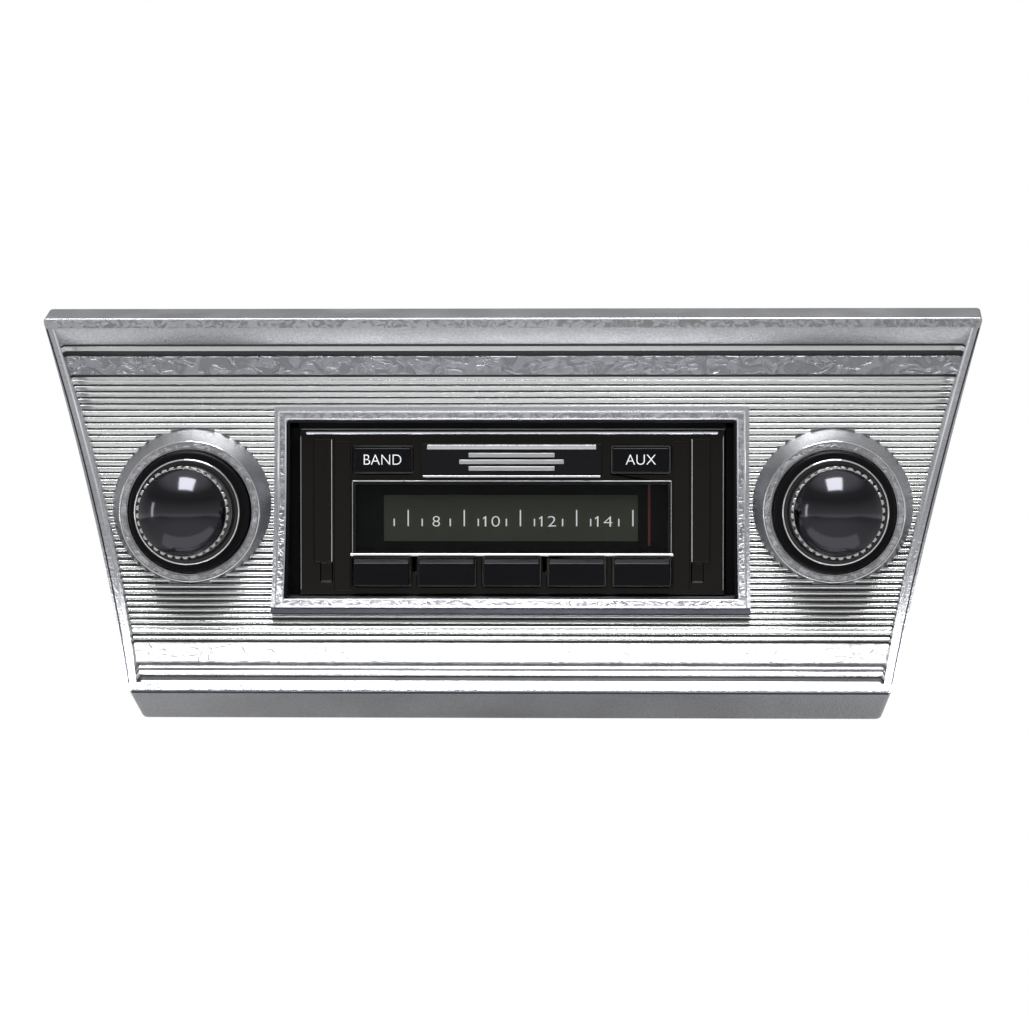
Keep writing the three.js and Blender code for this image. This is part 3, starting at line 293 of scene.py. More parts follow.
BOARD = Finish("solder_resist", (0.02, 0.12, 0.045), 0.3, 0.0, Grain.MOULDED, 500, 0.01, 0.05, 0.25)
NYLON = Finish("natural_nylon", (0.66, 0.65, 0.6), 0.42, 0.0, Grain.MOULDED, 1800, 0.012, 0.05, 0.1)
SLEEVE = Finish(
    "capacitor_sleeve", (0.02, 0.024, 0.04), 0.3, 0.0, Grain.MOULDED, 1500, 0.01, 0.05, 0.2
)
CORD = Finish("waxed_cord", (0.16, 0.13, 0.09), 0.7, 0.0, Grain.BRAID, 900, 0.06, 0.05, 0.4)
PAPER = Finish(
    "pale_paper", (0.48, 0.48, 0.48), 0.9, 0.0, Grain.MOULDED, 60, 0.01, 0.04, 0.01, sheen=0.0
)

NODE_FINISHES: dict[Finish, tuple[str, ...]] = {
    ZINC: (
        "tone_control", "volume_control", "fader_control", "tuning_bearing",
        "rail_bracket_left", "rail_bracket_right",
    ),
    STEEL: (
        "left_nut", "left_washer", "right_nut", "right_washer", "volume_shaft", "tuning_shaft",
        "idler_pin", "pointer_rail", "output_choke", "tuner_can",
    ),
    BRASS: ("left_bushing", "right_bushing", "tone_shaft", "fader_shaft"),
    BOARD: ("preset_switch_board", "key_switch_board", "dial_lamp_board", "main_board"),
    MASK: ("dial_plate",),
    NEEDLE: ("dial_pointer",),
    NYLON: ("idler_pulley", "tuning_drum"),
    RING: ("output_amplifier",),
    SLEEVE: ("filter_capacitor",),
    CORD: ("dial_cord",),
}


def pick(*objects: Piece) -> None:
    """Selects only these objects, and makes the first one active.

    Args:
        objects: The objects to select.
    """
    bpy.ops.object.select_all(action="DESELECT")
    for chosen in objects:
        chosen.select_set(True)
    bpy.context.view_layer.objects.active = objects[0]


@contextmanager
def editing(piece: Piece) -> Iterator[None]:
    """Opens a piece in edit mode with everything selected.

    Args:
        piece: The piece to edit.
    """
    pick(piece)
    bpy.ops.object.mode_set(mode="EDIT")
    bpy.ops.mesh.select_mode(type="VERT")
    bpy.ops.mesh.select_all(action="SELECT")
    yield
    bpy.ops.object.mode_set(mode="OBJECT")


def apply_place(piece: Piece) -> None:
    """Carries a piece's place and size over into its mesh."""
    pick(piece)
    bpy.ops.object.transform_apply(location=True, rotation=True, scale=True)


def select_edges(piece: Piece, wanted: Callable[[Vector, Vector], bool]) -> None:
    """Selects edges of a piece that is open in edit mode.

    Args:
        piece: The piece.
        wanted: Whether to select an edge, from its two ends.
    """
    bpy.ops.mesh.select_all(action="DESELECT")
    bpy.ops.object.mode_set(mode="OBJECT")
    for edge in piece.data.edges:
        edge.select = wanted(*(piece.data.vertices[i].co for i in edge.vertices))
    bpy.ops.object.mode_set(mode="EDIT")
    bpy.ops.mesh.select_mode(type="EDGE")


def corners(node: str) -> tuple[Vector, Vector]:
    """The lowest and the highest corner of a CAD node, in millimetres."""
    low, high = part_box(node)
    return low / MM, high / MM


def settle(piece: Piece, finish: Finish, body: str = "radio") -> None:
    """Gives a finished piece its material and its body.

    Args:
        piece: The finished piece.
        finish: What it is finished in.
        body: The CAD body that it rides on.
    """
    piece.data.materials.clear()
    piece.data.materials.append(finish.material())
    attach(piece, body)
    LOG.info("%s: %d faces on %s", piece.name, len(piece.data.polygons), body)


def smooth(piece: Piece, degrees: float = 32) -> None:
    """Shades a piece smooth where its faces meet at less than an angle.

    Args:
        piece: The piece to shade.
        degrees: The largest angle that is shaded smooth.
    """
    pick(piece)
    bpy.ops.object.shade_smooth_by_angle(angle=math.radians(degrees))


def round_edges(piece: Piece, radius: float, segments: int = 3, degrees: float = 40) -> None:
    """Rounds the sharp edges of a piece.

    Args:
        piece: The piece to round.
        radius: The size of the rounding.
        segments: How many faces each rounding has.
        degrees: The smallest angle that is rounded.
    """
    bevel = piece.modifiers.new("rounding", "BEVEL")
    bevel.width = radius * MM
    bevel.segments = segments
    bevel.limit_method = "ANGLE"
    bevel.angle_limit = math.radians(degrees)
    bevel.miter_outer = "MITER_ARC"
    bevel.harden_normals = True
    pick(piece)
    bpy.ops.object.modifier_apply(modifier=bevel.name)


def slab(name: str, low: Point, high: Point, radius: float = 0.2, segments: int = 3) -> Piece:
    """A block between two corners, with rounded edges.

    Args:
        name: The piece's name.
        low: The lowest corner.
        high: The highest corner.
        radius: The rounding of its edges.
        segments: How many faces each rounding has.

    Returns:
        The block.
    """
    start, end = Vector(low) * MM, Vector(high) * MM
    bpy.ops.mesh.primitive_cube_add(size=1, location=(start + end) / 2)
    piece = bpy.context.active_object
    piece.name = name
    piece.scale = end - start
    apply_place(piece)
    if radius:
        smooth(piece)
        round_edges(piece, radius, segments)
    return piece


def spun(name: str, profile: list[Span], centre: Span, steps: int = 96) -> Piece:
    """A piece turned about an axis along Y.

    Args:
        name: The piece's name.
        profile: Its outline as radius and y, from one end to the other.
        centre: The axis's x and z.
        steps: How many facets go round it.

    Returns:
        The turned piece.
    """
    x, z = centre
    start = Vector((x + profile[0][0], profile[0][1], z)) * MM
    bpy.ops.mesh.primitive_plane_add(size=MM, location=start)
    piece = bpy.context.active_object
    piece.name = name
    apply_place(piece)
    with editing(piece):
        bpy.ops.mesh.merge(type="CENTER")
        for before, after in zip(profile, profile[1:]):
            move = Vector((after[0] - before[0], after[1] - before[1], 0)) * MM
            bpy.ops.mesh.extrude_vertices_move(TRANSFORM_OT_translate={"value": move})
        bpy.ops.mesh.select_all(action="SELECT")
        bpy.ops.mesh.spin(
            steps=steps, angle=math.tau, center=(x * MM, 0, z * MM), axis=(0, 1, 0)
        )
        bpy.ops.mesh.select_all(action="SELECT")
        bpy.ops.mesh.remove_doubles(threshold=1e-6)
        bpy.ops.mesh.normals_make_consistent(inside=False)
    smooth(piece)
    return piece


def arc(centre: Span, radius: float, start: float, end: float, steps: int = 6) -> list[Span]:
    """Points on a round stretch of a profile.

    Args:
        centre: The arc's centre, as radius and y.
        radius: The arc's own radius.
        start: Its first angle in degrees, from the radius axis towards y.
        end: Its last angle in degrees.
        steps: How many straight pieces it has.

    Returns:
        The points.
    """
    angles = [math.radians(start + (end - start) * i / steps) for i in range(steps + 1)]
    return [(centre[0] + radius * math.cos(a), centre[1] + radius * math.sin(a)) for a in angles]


def merged(name: str, pieces: list[Piece]) -> Piece:
    """Joins pieces into one.

    Args:
        name: The new piece's name.
        pieces: The pieces to join.

    Returns:
        The joined piece.
    """
    pick(*pieces)
    if len(pieces) > 1:
        bpy.ops.object.join()
    piece = bpy.context.active_object
    piece.name = name
    return piece


def refined(node: str, radius: float, segments: int = 2) -> Piece:
    """A copy of a CAD node with its doubled points merged and its edges rounded.

    Args:
        node: The CAD node, which the copy replaces.
        radius: The rounding of its edges.
        segments: How many faces each rounding has.

    Returns:
        The copy.
    """
    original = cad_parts[node]
    piece = bpy.data.objects.new(f"{node}_finished", original.data.copy())
    bpy.context.scene.collection.objects.link(piece)
    pick(piece)
    bpy.ops.mesh.customdata_custom_splitnormals_clear()
    with editing(piece):
        bpy.ops.mesh.remove_doubles(threshold=2e-6)
        flat, skewed = math.radians(1), math.radians(60)
        bpy.ops.mesh.tris_convert_to_quads(face_threshold=flat, shape_threshold=skewed)
    smooth(piece)
    round_edges(piece, radius, segments)
    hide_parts(node)
    return piece


def lettering(name: str, text: str, size: float, centre: Point, width: float = 0.0) -> Piece:
    """Flat characters that face the front.

    Args:
        name: The piece's name.
        text: What they say.
        size: The height of a capital.
        centre: Where their middle lies.
        width: The width to fit them to, or 0 to leave them.

    Returns:
        The characters as a mesh.
    """
    bpy.ops.object.text_add()
    words = bpy.context.active_object
    words.data.body = text
    words.data.align_x = "CENTER"
    words.data.align_y = "CENTER"
    words.data.extrude = 0.02
    words.data.offset = -0.014
    pick(words)
    bpy.ops.object.convert(target="MESH")
    words.name = name
    spans = [[corner[i] for corner in words.bound_box] for i in (0, 1)]
    low, high = [min(span) for span in spans], [max(span) for span in spans]
    tall = size * MM / (high[1] - low[1])
    wide = width * MM / (high[0] - low[0]) if width else tall
    middle = Matrix.Translation((-(low[0] + high[0]) / 2, -(low[1] + high[1]) / 2, 0))
    shrink = Matrix.Diagonal((wide, tall, MM, 1))
    stand = Matrix.Rotation(math.radians(90), 4, "X")
    words.data.transform(Matrix.Translation(Vector(centre) * MM) @ stand @ shrink @ middle)
    return words


@dataclass
class Bezel:
    """The cast bezel: its shell, its ribs, its beads and bands, and the rims of its bosses."""

    face_radius: float = 105.0
    deepest_y: float = -2.6
    deepest_z: float = 18.3
    field_depth: float = 3.0
    half_width: float = 107.3
    side_slope: float = 0.26
    rim_width: float = 2.1
    frame_half_width: float = 61.1
    frame_top: float = 26.8
    frame_bottom: float = -25.3
    boss_x: float = 82.55
    boss_front: float = -6.8
    boss_radius: float = 18.2
    boss_recess: float = 16.1
    boss_draft: float = math.tan(math.radians(25))
    rib_top: float = 33.4
    rib_bottom: float = -29.8
    rib_pitch: float = 1.62
    rib_width: float = 1.2
    rib_height: float = 0.62
    rib_rounding: float = 0.24
    narrow_width: float = 1.0
    narrow_below: float = -7.0
    sunk: float = 0.5
    side_low: float = -42.8
    side_high: float = 46.9
    wall_draft: float = 0.27
    hug_step: float = 3.0
    hug_depth: float = 1.0
    liner_back: float = 3.2
    liner_inset: float = 0.5
    gasket_front: float = 4.4
    gasket_inner: float = 55.2
    embed: float = 0.9
    strips: list[Piece] = field(default_factory=list)

    def lean(self, z: float) -> float:
        """The angle of the face at a height, in radians."""
        return math.asin((z - self.deepest_z) / (self.face_radius + self.field_depth))

    def surface(self, angle: float, proud: float) -> Span:
        """A point on the face.

        Args:
            angle: The face's angle there, in radians.
            proud: How far in front of the field it lies.

        Returns:
            Its y and z.
        """
        reach = self.face_radius + self.field_depth - proud
        centre = self.deepest_y - self.face_radius
        return centre + reach * math.cos(angle), self.deepest_z + reach * math.sin(angle)

    def spans(self, z: float, y: float) -> list[Span]:
        """The stretches of a strip that the frame and the bosses leave, from left to right.

        Args:
            z: The strip's height.
            y: How far back the field lies there.

        Returns:
            The ends of each stretch.
        """
        end = self.half_width + self.side_slope * z - self.rim_width - 0.8 + self.embed
        cuts: list[Span] = []
        if self.frame_bottom < z < self.frame_top:
            cuts.append((-self.frame_half_width + self.embed, self.frame_half_width - self.embed))
        boss = self.boss_radius + (y - self.boss_front) * self.boss_draft
        if abs(z) < boss:
            chord = math.sqrt(boss**2 - z**2) - self.embed / 2
            for x in (-self.boss_x, self.boss_x):
                cuts.append((x - chord, x + chord))
        left, found = -end, []
        for low, high in sorted(cuts):
            if low - left > 1:
                found.append((left, low))
            left = max(left, high)
        if end - left > 1:
            found.append((left, end))
        return found

    def bar(self, width: float, height: float, rounding: float) -> Piece:
        """One metre of strip with its front edges rounded, ready to be copied.

        Args:
            width: Its width up the face.
            height: How far it stands in front of the field.
            rounding: The rounding of its front edges.

        Returns:
            The bar.
        """
        bpy.ops.mesh.primitive_cube_add(size=1)
        bar = bpy.context.active_object
        bar.scale = (1, (height + self.sunk) * MM, width * MM)
        bar.location = (0, (self.sunk - height) / 2 * MM, 0)
        apply_place(bar)
        with editing(bar):
            select_edges(bar, lambda a, b: max(a.y, b.y) < 0 and abs(a.z - b.z) < LEVEL)
            bpy.ops.mesh.bevel(offset=rounding * MM, segments=4, affect="EDGES")
        return bar

    def strip(self, bar: Piece, z: float, height: float) -> None:
        """Lays copies of a bar across the face at one height.

        Args:
            bar: The bar to copy.
            z: The middle of the strip on the field.
            height: How far the bar stands in front of the field.
        """
        angle = self.lean(z)
        y, high = self.surface(angle, 0)
        turn = Matrix.Rotation(angle, 4, "X")
        front = self.surface(angle, height)[0]
        for left, right in self.spans(high, (y + front) / 2):
            copy = bpy.data.objects.new("strip", bar.data.copy())
            bpy.context.scene.collection.objects.link(copy)
            stretch = Matrix.Diagonal(((right - left) * MM, 1, 1, 1))
            place = Matrix.Translation(Vector(((left + right) / 2, y, high)) * MM)
            copy.data.transform(place @ turn @ stretch)
            self.strips.append(copy)

    def collect(self, name: str, finish: Finish, degrees: float = 50) -> None:
        """Joins the strips laid so far into one piece.

        Args:
            name: The piece's name.
            finish: What it is finished in.
            degrees: The largest angle that is shaded smooth.
        """
        piece = merged(name, self.strips)
        self.strips = []
        smooth(piece, degrees)
        settle(piece, finish)

    def ribs(self) -> None:
        """The fine horizontal ribs, and a dark sheet of painted shade that darkens the grooves
        between them.
        """
        step = self.rib_pitch / (self.face_radius + self.field_depth)
        first, last = self.lean(self.rib_top), self.lean(self.rib_bottom)
        count = int((first - last) / step) + 1
        heights = [self.surface(first - i * step, 0)[1] for i in range(count)]
        upper = [z for z in heights if z > self.narrow_below]
        lower = [z for z in heights if z <= self.narrow_below]
        narrow = self.narrow_width
        # The last row is a thin sheet of painted shade under the ribs, so the grooves between them
        # look dark.
        for name, rows, width, height, rounding, finish in (
            ("bezel_ribs", upper, self.rib_width, self.rib_height, self.rib_rounding, RIBS),
            ("narrow_ribs", lower, narrow, self.rib_height, narrow * 0.36, RIBS),
            ("rib_groove_shade", heights, self.rib_pitch, 0.08, 0.03, GROOVE_SHADE),
        ):
            bar = self.bar(width, height, rounding)
            for z in rows:
                self.strip(bar, z, height)
            bpy.data.objects.remove(bar)
            self.collect(name, finish)

    def bands(self) -> None:
        """The beads and bands above and below the ribs, with strips of painted shade along the
        grooves beside them.
        """
        # The groove strips are painted shade: dark strips laid where the grooves beside the beads
        # lie in shade.
        for name, finish, degrees, strips in (
            ("bezel_beads", RIBS, 50, (
                (42.0, 1.3, 0.45), (34.3, 0.9, 0.4), (-30.75, 1.1, 0.7), (-32.35, 1.0, 0.7),
                (-40.9, 1.3, 0.8),
            )),
            ("bead_groove_shade", GROOVE_SHADE, 50, (
                (42.0, 2.1, 0.1), (40.65, 1.0, 0.12), (34.6, 2.2, 0.09), (-31.5, 3.9, 0.1),
                (-40.95, 3.6, 0.1),
            )),
            ("crinkled_band", CRINKLE, 12, ((37.75, 4.9, 1.1),)),
            ("bright_band", BAND, 12, ((-36.15, 5.6, 1.1),)),
        ):
            for z, width, height in strips:
                bar = self.bar(width, height, min(width, height) * 0.3)
                self.strip(bar, z, height)
                bpy.data.objects.remove(bar)
            self.collect(name, finish, degrees)

    def rims(self) -> None:
        """The hammered face of the top and bottom rims, a painted highlight along their edges, and a
        painted shade line at the foot of the bottom rim.
        """
        # The second row is a painted highlight along each rim's edge; the third, a painted shade
        # line under the bottom rim.
        for name, finish, strips in (
            ("hammered_rims", HAMMERED, ((48.15, 2.2, 0.18), (-43.95, 1.7, 0.18))),
            ("rim_edge_highlights", PAINTED_HIGHLIGHT, ((49.32, 0.42, 0.22), (-42.95, 0.4, 0.22))),
            ("rim_foot_shade", PAINTED_SHADE, ((-44.85, 0.4, 0.2),)),
        ):
            for z, width, height in strips:
                bar = self.bar(width, height, height * 0.6)
                angle = self.face_lean(z)
                y, high = self.surface(angle, self.field_depth)
                end = self.half_width + self.side_slope * z - 0.7
                place = Matrix.Translation((0, y * MM, high * MM)) @ Matrix.Rotation(angle, 4, "X")
                bar.data.transform(place @ Matrix.Diagonal((2 * end * MM, 1, 1, 1)))
                self.strips.append(bar)
            self.collect(name, finish)

    def side_edges(self) -> None:
        """A painted shade line along the outer edge of each side rim, a painted highlight along its
        inner edge, and the polished wall that falls to the field.
        """
        low, high = self.side_low, self.side_high
        # The first row is a painted shade line, the second a painted highlight; the third is the
        # polished wall.
        for name, finish, near, far, front, back, draft in (
            ("side_rim_outer_shade", PAINTED_SHADE, 0.1, 0.5, -0.1, 0.5, 0.0),
            ("side_rim_highlights", PAINTED_HIGHLIGHT, 1.65, 2.15, -0.12, 0.5, 0.0),
            ("side_rim_walls", BRIGHT, 2.0, 2.2, 0.12, self.field_depth - 0.1, self.wall_draft),
        ):
            bars = []
            for side in (-1, 1):
                left, right = sorted(side * (self.half_width - x) for x in (near, far))
                bar = slab("bar", (left, front, low), (right, back, high), 0.06)
                for vertex in bar.data.vertices:
                    vertex.co.x += side * (self.side_slope * vertex.co.z - draft * vertex.co.y)
                bars.append(bar)
            edges = self.hugging(merged(name, bars), self.field_depth)
            settle(edges, finish)

    def hugging(self, piece: Piece, depth: float = 1.0) -> Piece:
        """Bends the front of an upright block onto the hollow of the face.

        Args:
            piece: The block, whose front lies where y is negative.
            depth: How far back the bend reaches. What lies deeper stays upright.

        Returns:
            The block.
        """
        heights = [corner[2] for corner in piece.bound_box]
        low, high = min(heights), max(heights)
        cuts = int((high - low) / MM / self.hug_step)
        with editing(piece):
            for i in range(1, cuts):
                bpy.ops.mesh.select_all(action="SELECT")
                place = (0, 0, low + (high - low) * i / cuts)
                bpy.ops.mesh.bisect(plane_co=place, plane_no=(0, 0, 1))
        pick(piece)
        bpy.ops.mesh.customdata_custom_splitnormals_clear()
        for vertex in piece.data.vertices:
            if vertex.co.y < depth * MM:
                angle = self.face_lean(vertex.co.z / MM)
                vertex.co.y += self.surface(angle, self.field_depth)[0] * MM
        smooth(piece, 24)
        return piece

    def face_lean(self, z: float) -> float:
        """The angle of the rims' surface at a height, in radians."""
        return math.asin((z - self.deepest_z) / self.face_radius)

    def frame(self) -> None:
        """The frame's raised inner face, painted highlights along its edges, a strip of painted
        shade along its foot, its liner and its gasket.
        """
        wide, top, bottom = self.frame_half_width, self.frame_top, self.frame_bottom
        # The two edge rows are painted highlights along the frame's outer and inner edges.
        for name, finish, far, near, proud in (
            ("frame_face", HAMMERED, 1.15, 3.15, 0.5),
            ("frame_outer_highlight", PAINTED_HIGHLIGHT, 0.95, 1.5, 0.55),
            ("frame_inner_highlight", PAINTED_HIGHLIGHT, 2.75, 3.2, 0.56),
        ):
            x0, x1 = wide - near, wide - far
            rounding = min(0.3, (near - far) * 0.4)
            bars = [
                slab("bar", (-x1, -proud, top - near), (x1, 0.3, top - far), rounding),
                slab("bar", (-x1, -proud, bottom + far), (x1, 0.3, bottom + near), rounding),
                slab("bar", (-x1, -proud, bottom + far), (-x0, 0.3, top - far), rounding),
                slab("bar", (x0, -proud, bottom + far), (x1, 0.3, top - far), rounding),
            ]
            settle(self.hugging(merged(name, bars)), finish)
        # A dark strip of painted shade along the frame's foot, where its lower slope faces away from
        # the light.
        foot = slab("frame_foot_shade", (-wide, -0.1, bottom - 0.55), (wide, 0.95, bottom + 1.05), 0.12)
        settle(self.hugging(foot), PAINTED_SHADE)
        inner, back = wide - 3.2, self.liner_back
        walls = [
            slab("wall", (-inner + 0.1, -0.1, bottom + 3.5), (-inner + 0.75, back, top - 3.3), 0.1),
            slab("wall", (inner - 0.75, -0.1, bottom + 3.5), (inner - 0.1, back, top - 3.3), 0.1),
            slab("wall", (-inner + 0.1, -0.1, top - 3.95), (inner - 0.1, back, top - 3.3), 0.1),
        ]
        for wall in walls:
            for vertex in wall.data.vertices:
                if vertex.co.y < self.hug_depth * MM:
                    vertex.co.y += self.liner_inset * MM
        liner = self.hugging(merged("opening_liner", walls))
        settle(liner, TRIM_BLACK)
        gap, edge = self.gasket_front, self.gasket_inner
        seals = [
            slab("seal", (-wide, gap, top - 5.4), (wide, gap + 3, top - 1), 0.2),
            slab("seal", (-wide, gap, bottom + 1), (wide, gap + 3, bottom + 3.5), 0.2),
            slab("seal", (-wide, gap, bottom + 2), (-edge, gap + 3, top - 2), 0.2),
            slab("seal", (edge, gap, bottom + 2), (wide, gap + 3, top - 2), 0.2),
        ]
        settle(merged("opening_gasket", seals), RING)

    def boss_rims(self) -> None:
        """A flat hammered rim with a bright outer edge on the front of each boss."""
        front, back = self.boss_front - 0.12, self.boss_front + 0.5
        inner, outer = self.boss_recess, self.boss_radius
        flat = [
            (inner, back), (inner, front + 0.3), (inner + 0.3, front),
            (outer - 0.45, front), (outer - 0.1, front + 0.25), (outer, back), (inner, back),
        ]
        edge = arc((outer - 0.3, front + 0.22), 0.3, 20, -200, 8)
        edge.append(edge[0])
        for side, x in (("left", -self.boss_x), ("right", self.boss_x)):
            settle(spun(f"{side}_boss_rim", flat, (x, 0)), HAMMERED)
            settle(spun(f"{side}_boss_edge", edge, (x, 0)), BRIGHT)

    def build(self) -> None:
        """Makes the whole bezel."""
        shell = refined("bezel_casting", 0.3)
        settle(shell, CASTING)
        self.ribs()
        self.bands()
        self.rims()
        self.side_edges()
        self.frame()
        self.boss_rims()


@dataclass
class Knob:
    """A domed knob with its serrated grip and skirt, and the ring behind it."""

    knob: str
    ring: str
    dome_steps: int = 12
    socket_radius: float = 2.4
    socket_depth: float = 2.9
    bore: float = 2.3
    cone_front: float = 11.2
    edge_setback: float = 4.0
    edge_radius: float = 0.3
    ring_bore: float = 3.5
    ring_rounding: float = 0.8

    def middle(self) -> Span:
        """The shaft's x and z."""
        low, high = corners(f"{self.knob}_knob_skirt")
        return (low.x + high.x) / 2, (low.z + high.z) / 2

    def ends(self, node: str) -> tuple[float, float, float]:
        """The front, the back and the radius of a round CAD node."""
        low, high = corners(node)
        return low.y, high.y, (high.x - low.x) / 2

    def dome(self) -> None:
        """The mirror-finished cap."""
        front, back, radius = self.ends(f"{self.knob}_knob_dome")
        height = back - front
        sphere = (radius**2 + height**2) / (2 * height)
        spread = math.degrees(math.asin(radius / sphere))
        cap = arc((0, front + sphere), sphere, -90, -90 + spread, self.dome_steps)
        bore, floor = self.socket_radius, back - self.socket_depth
        profile = [(0.0, front), *cap[1:], (radius - 0.3, back)]
        profile += [(bore, back), (bore, floor), (0.0, floor)]
        piece = spun(f"{self.knob}_dome", profile, self.middle())
        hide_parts(f"{self.knob}_knob_dome")
        settle(piece, DOME, f"{self.knob}_knob")

    def grip(self) -> None:
        """The serrated ring under the cap, with softened teeth."""
        piece = refined(f"{self.knob}_knob_grip", 0.16)
        settle(piece, GRIP, f"{self.knob}_knob")

    def skirt(self) -> None:
        """The dark cone and the bright edge that it ends in."""
        front, back, radius = self.ends(f"{self.knob}_knob_skirt")
        bore, edge = self.bore, back - self.edge_setback
        profile = [
            (bore, back), (radius - 0.75, back), (radius - 0.05, back - 0.9),
            (radius - 0.02, edge + 0.55), (radius - 1.3, edge + 0.5),
            (self.cone_front, front), (bore, front), (bore, back),
        ]
        piece = spun(f"{self.knob}_skirt", profile, self.middle())
        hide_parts(f"{self.knob}_knob_skirt")
        settle(piece, CONE, f"{self.knob}_knob")
        lip = arc((radius - 0.42, edge + 0.5), self.edge_radius, 0, -180, 10)
        lip += [(lip[-1][0], edge + 1.2), (lip[0][0], edge + 1.2), lip[0]]
        bright = spun(f"{self.knob}_skirt_edge", lip, self.middle())
        settle(bright, BRIGHT, f"{self.knob}_knob")

    def rear_ring(self) -> None:
        """The black ring, with a rounded front edge."""
        front, back, radius = self.ends(f"{self.ring}_ring")
        bore, round_off = self.ring_bore, self.ring_rounding
        profile = [
            (bore, back), (radius - 0.5, back), (radius, back - 0.5),
            *arc((radius - round_off, front + round_off), round_off, 0, -90, 5),
            (bore, front), (bore, back),
        ]
        piece = spun(f"{self.ring}_ring_finished", profile, self.middle())
        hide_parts(f"{self.ring}_ring")
        settle(piece, RING, f"{self.ring}_ring")

    def build(self) -> None:
        """Makes the knob and its ring."""
        self.dome()
        self.grip()
        self.skirt()
        self.rear_ring()


@dataclass
class Nose:
    """The black front: window, dial, badge, keys and buttons."""

    tick_start: float = -30.55
    tick_pitch: float = 3.638
    tick_count: int = 18
    tick_width: float = 0.34
    tick_foot: float = -3.9
    short_tick: float = 1.9
    tall_tick: float = 4.2
    digit_height: float = 2.7
    dial_low: Span = (-33.2, -7.8)
    dial_high: Span = (32.6, 4.2)
    step_inner: float = 46.5
    step_outer: float = 51.2
    step_heights: Span = (-13.1, 18.8)
    panel_sides: Span = (41.6, 45.9)
    panel_heights: Span = (-20.6, 18.2)
    word_height: float = 2.6
    bars: int = 3
    bar_height: float = 1.1
    bar_gap: float = 0.62
    bar_half: float = 13.5
    bar_taper: float = 2.4

    def __post_init__(self) -> None:
        """Reads the places of the CAD pieces."""
        self.front = corners("nose_shell")[0].y
        self.dial_front = corners("dial_plate")[0].y

    def shell(self) -> None:
        """The moulded shell, its side steps and its bright edge lines."""
        settle(refined("nose_shell", 0.55, 4), NOSE)
        front, back = self.front, self.front + 0.4
        for side, name in ((-1, "left"), (1, "right")):
            inner, outer = sorted(side * x for x in (self.step_inner, self.step_outer))
            low, high = self.step_heights
            step = slab(f"{name}_side_step", (inner, front - 0.7, low), (outer, back, high), 0.3)
            settle(step, NOSE)
            lip, crest = sorted(side * x for x in self.panel_sides)
            foot, head = self.panel_heights
            ends = (lip, front - 0.25, foot), (crest, back, head)
            panel = slab(f"{name}_inner_step", *ends, 0.22)
            settle(panel, NOSE)
            x = side * self.step_inner
            ends = (x - 0.1, front - 0.78, low + 0.1), (x + 0.1, front - 0.5, high - 0.2)
            line = slab(f"{name}_step_line", *ends, 0.06)
            settle(line, BRIGHT)

    def edge_lines(self) -> None:
        """A painted highlight along the top edge of the nose, and the bright lines along its sides
        and beside the window.
        """
        low, high = corners("nose_shell")
        front, back = self.front, self.front + 0.3
        # A strip of painted highlight along the nose's top edge.
        ends = (low.x + 1.6, front - 0.45, high.z - 1.2), (high.x - 1.6, front + 0.5, high.z - 0.2)
        settle(slab("nose_top_highlight", *ends, 0.48, 5), PAINTED_HIGHLIGHT)
        sides = [
            slab("line", (x - 0.1, front - 0.08, low.z + 1.2), (x + 0.1, back, high.z - 1.6), 0.08)
            for x in (low.x + 0.45, high.x - 0.45)
        ]
        settle(merged("nose_side_lines", sides), STEEL)
        low, high = corners("window_lens")
        beside = [
            slab("line", (x - 0.1, front - 0.66, low.z - 0.3), (x + 0.1, back, high.z + 0.6), 0.08)
            for x in (low.x - 0.95, high.x + 0.95)
        ]
        ends = (low.x - 1.0, front - 0.6, high.z + 0.8), (high.x + 1.0, back, high.z + 1.05)
        beside.append(slab("line", *ends, 0.1))
        settle(merged("window_edge_lines", beside), STEEL)

    def window(self) -> None:
        """The window's frame, its bright foot and its tinted lens."""
        low, high = corners("window_lens")
        front = self.front
        left, right, near, far = low.x - 1.0, high.x + 1.0, front - 0.55, front + 0.4
        bars = [
            slab("bar", (left, near, high.z), (right, far, high.z + 1.1), 0.2),
            slab("bar", (left, near, low.z - 0.5), (right, far, low.z), 0.1),
            slab("bar", (left, near, low.z), (low.x, far, high.z), 0.2),
            slab("bar", (high.x, near, low.z), (right, far, high.z), 0.2),
        ]
        settle(merged("window_frame", bars), TRIM_BLACK)
        ends = (low.x - 1.6, front - 0.72, low.z - 0.95), (high.x + 1.6, front + 0.3, low.z - 0.3)
        foot = slab("window_foot_line", *ends, 0.18)
        settle(foot, BRIGHT)
        lens = refined("window_lens", 0.12)
        settle(lens, LENS)

    def dial(self) -> None:
        """The printed panel with its scale."""
        face = self.dial_front
        low, high = self.dial_low, self.dial_high
        ends = (low[0], face - 0.12, low[1]), (high[0], face + 0.2, high[1])
        panel = slab("dial_panel", *ends, 0.05, 2)
        settle(panel, DIAL)
        digits = {3: ("8", 1.9), 7: ("10", 3.9), 11: ("12", 3.9), 15: ("14", 4.0)}
        ink: list[Piece] = []
        front, back = face - 0.18, face - 0.08
        for i in range(self.tick_count):
            x = self.tick_start + i * self.tick_pitch
            if i in digits:
                place = (x, face - 0.14, self.tick_foot + self.digit_height / 2 - 0.1)
                number, width = digits[i]
                ink.append(lettering("digit", number, self.digit_height, place, width))
                if number.startswith("1"):
                    head = place[2] + self.digit_height / 2
                    ink.append(self.flag(x - width / 2, head, front, back))
                continue
            tall = self.tall_tick if i % 4 == 1 else self.short_tick
            half, foot = self.tick_width / 2, self.tick_foot
            ink.append(slab("tick", (x - half, front, foot), (x + half, back, foot + tall), 0))
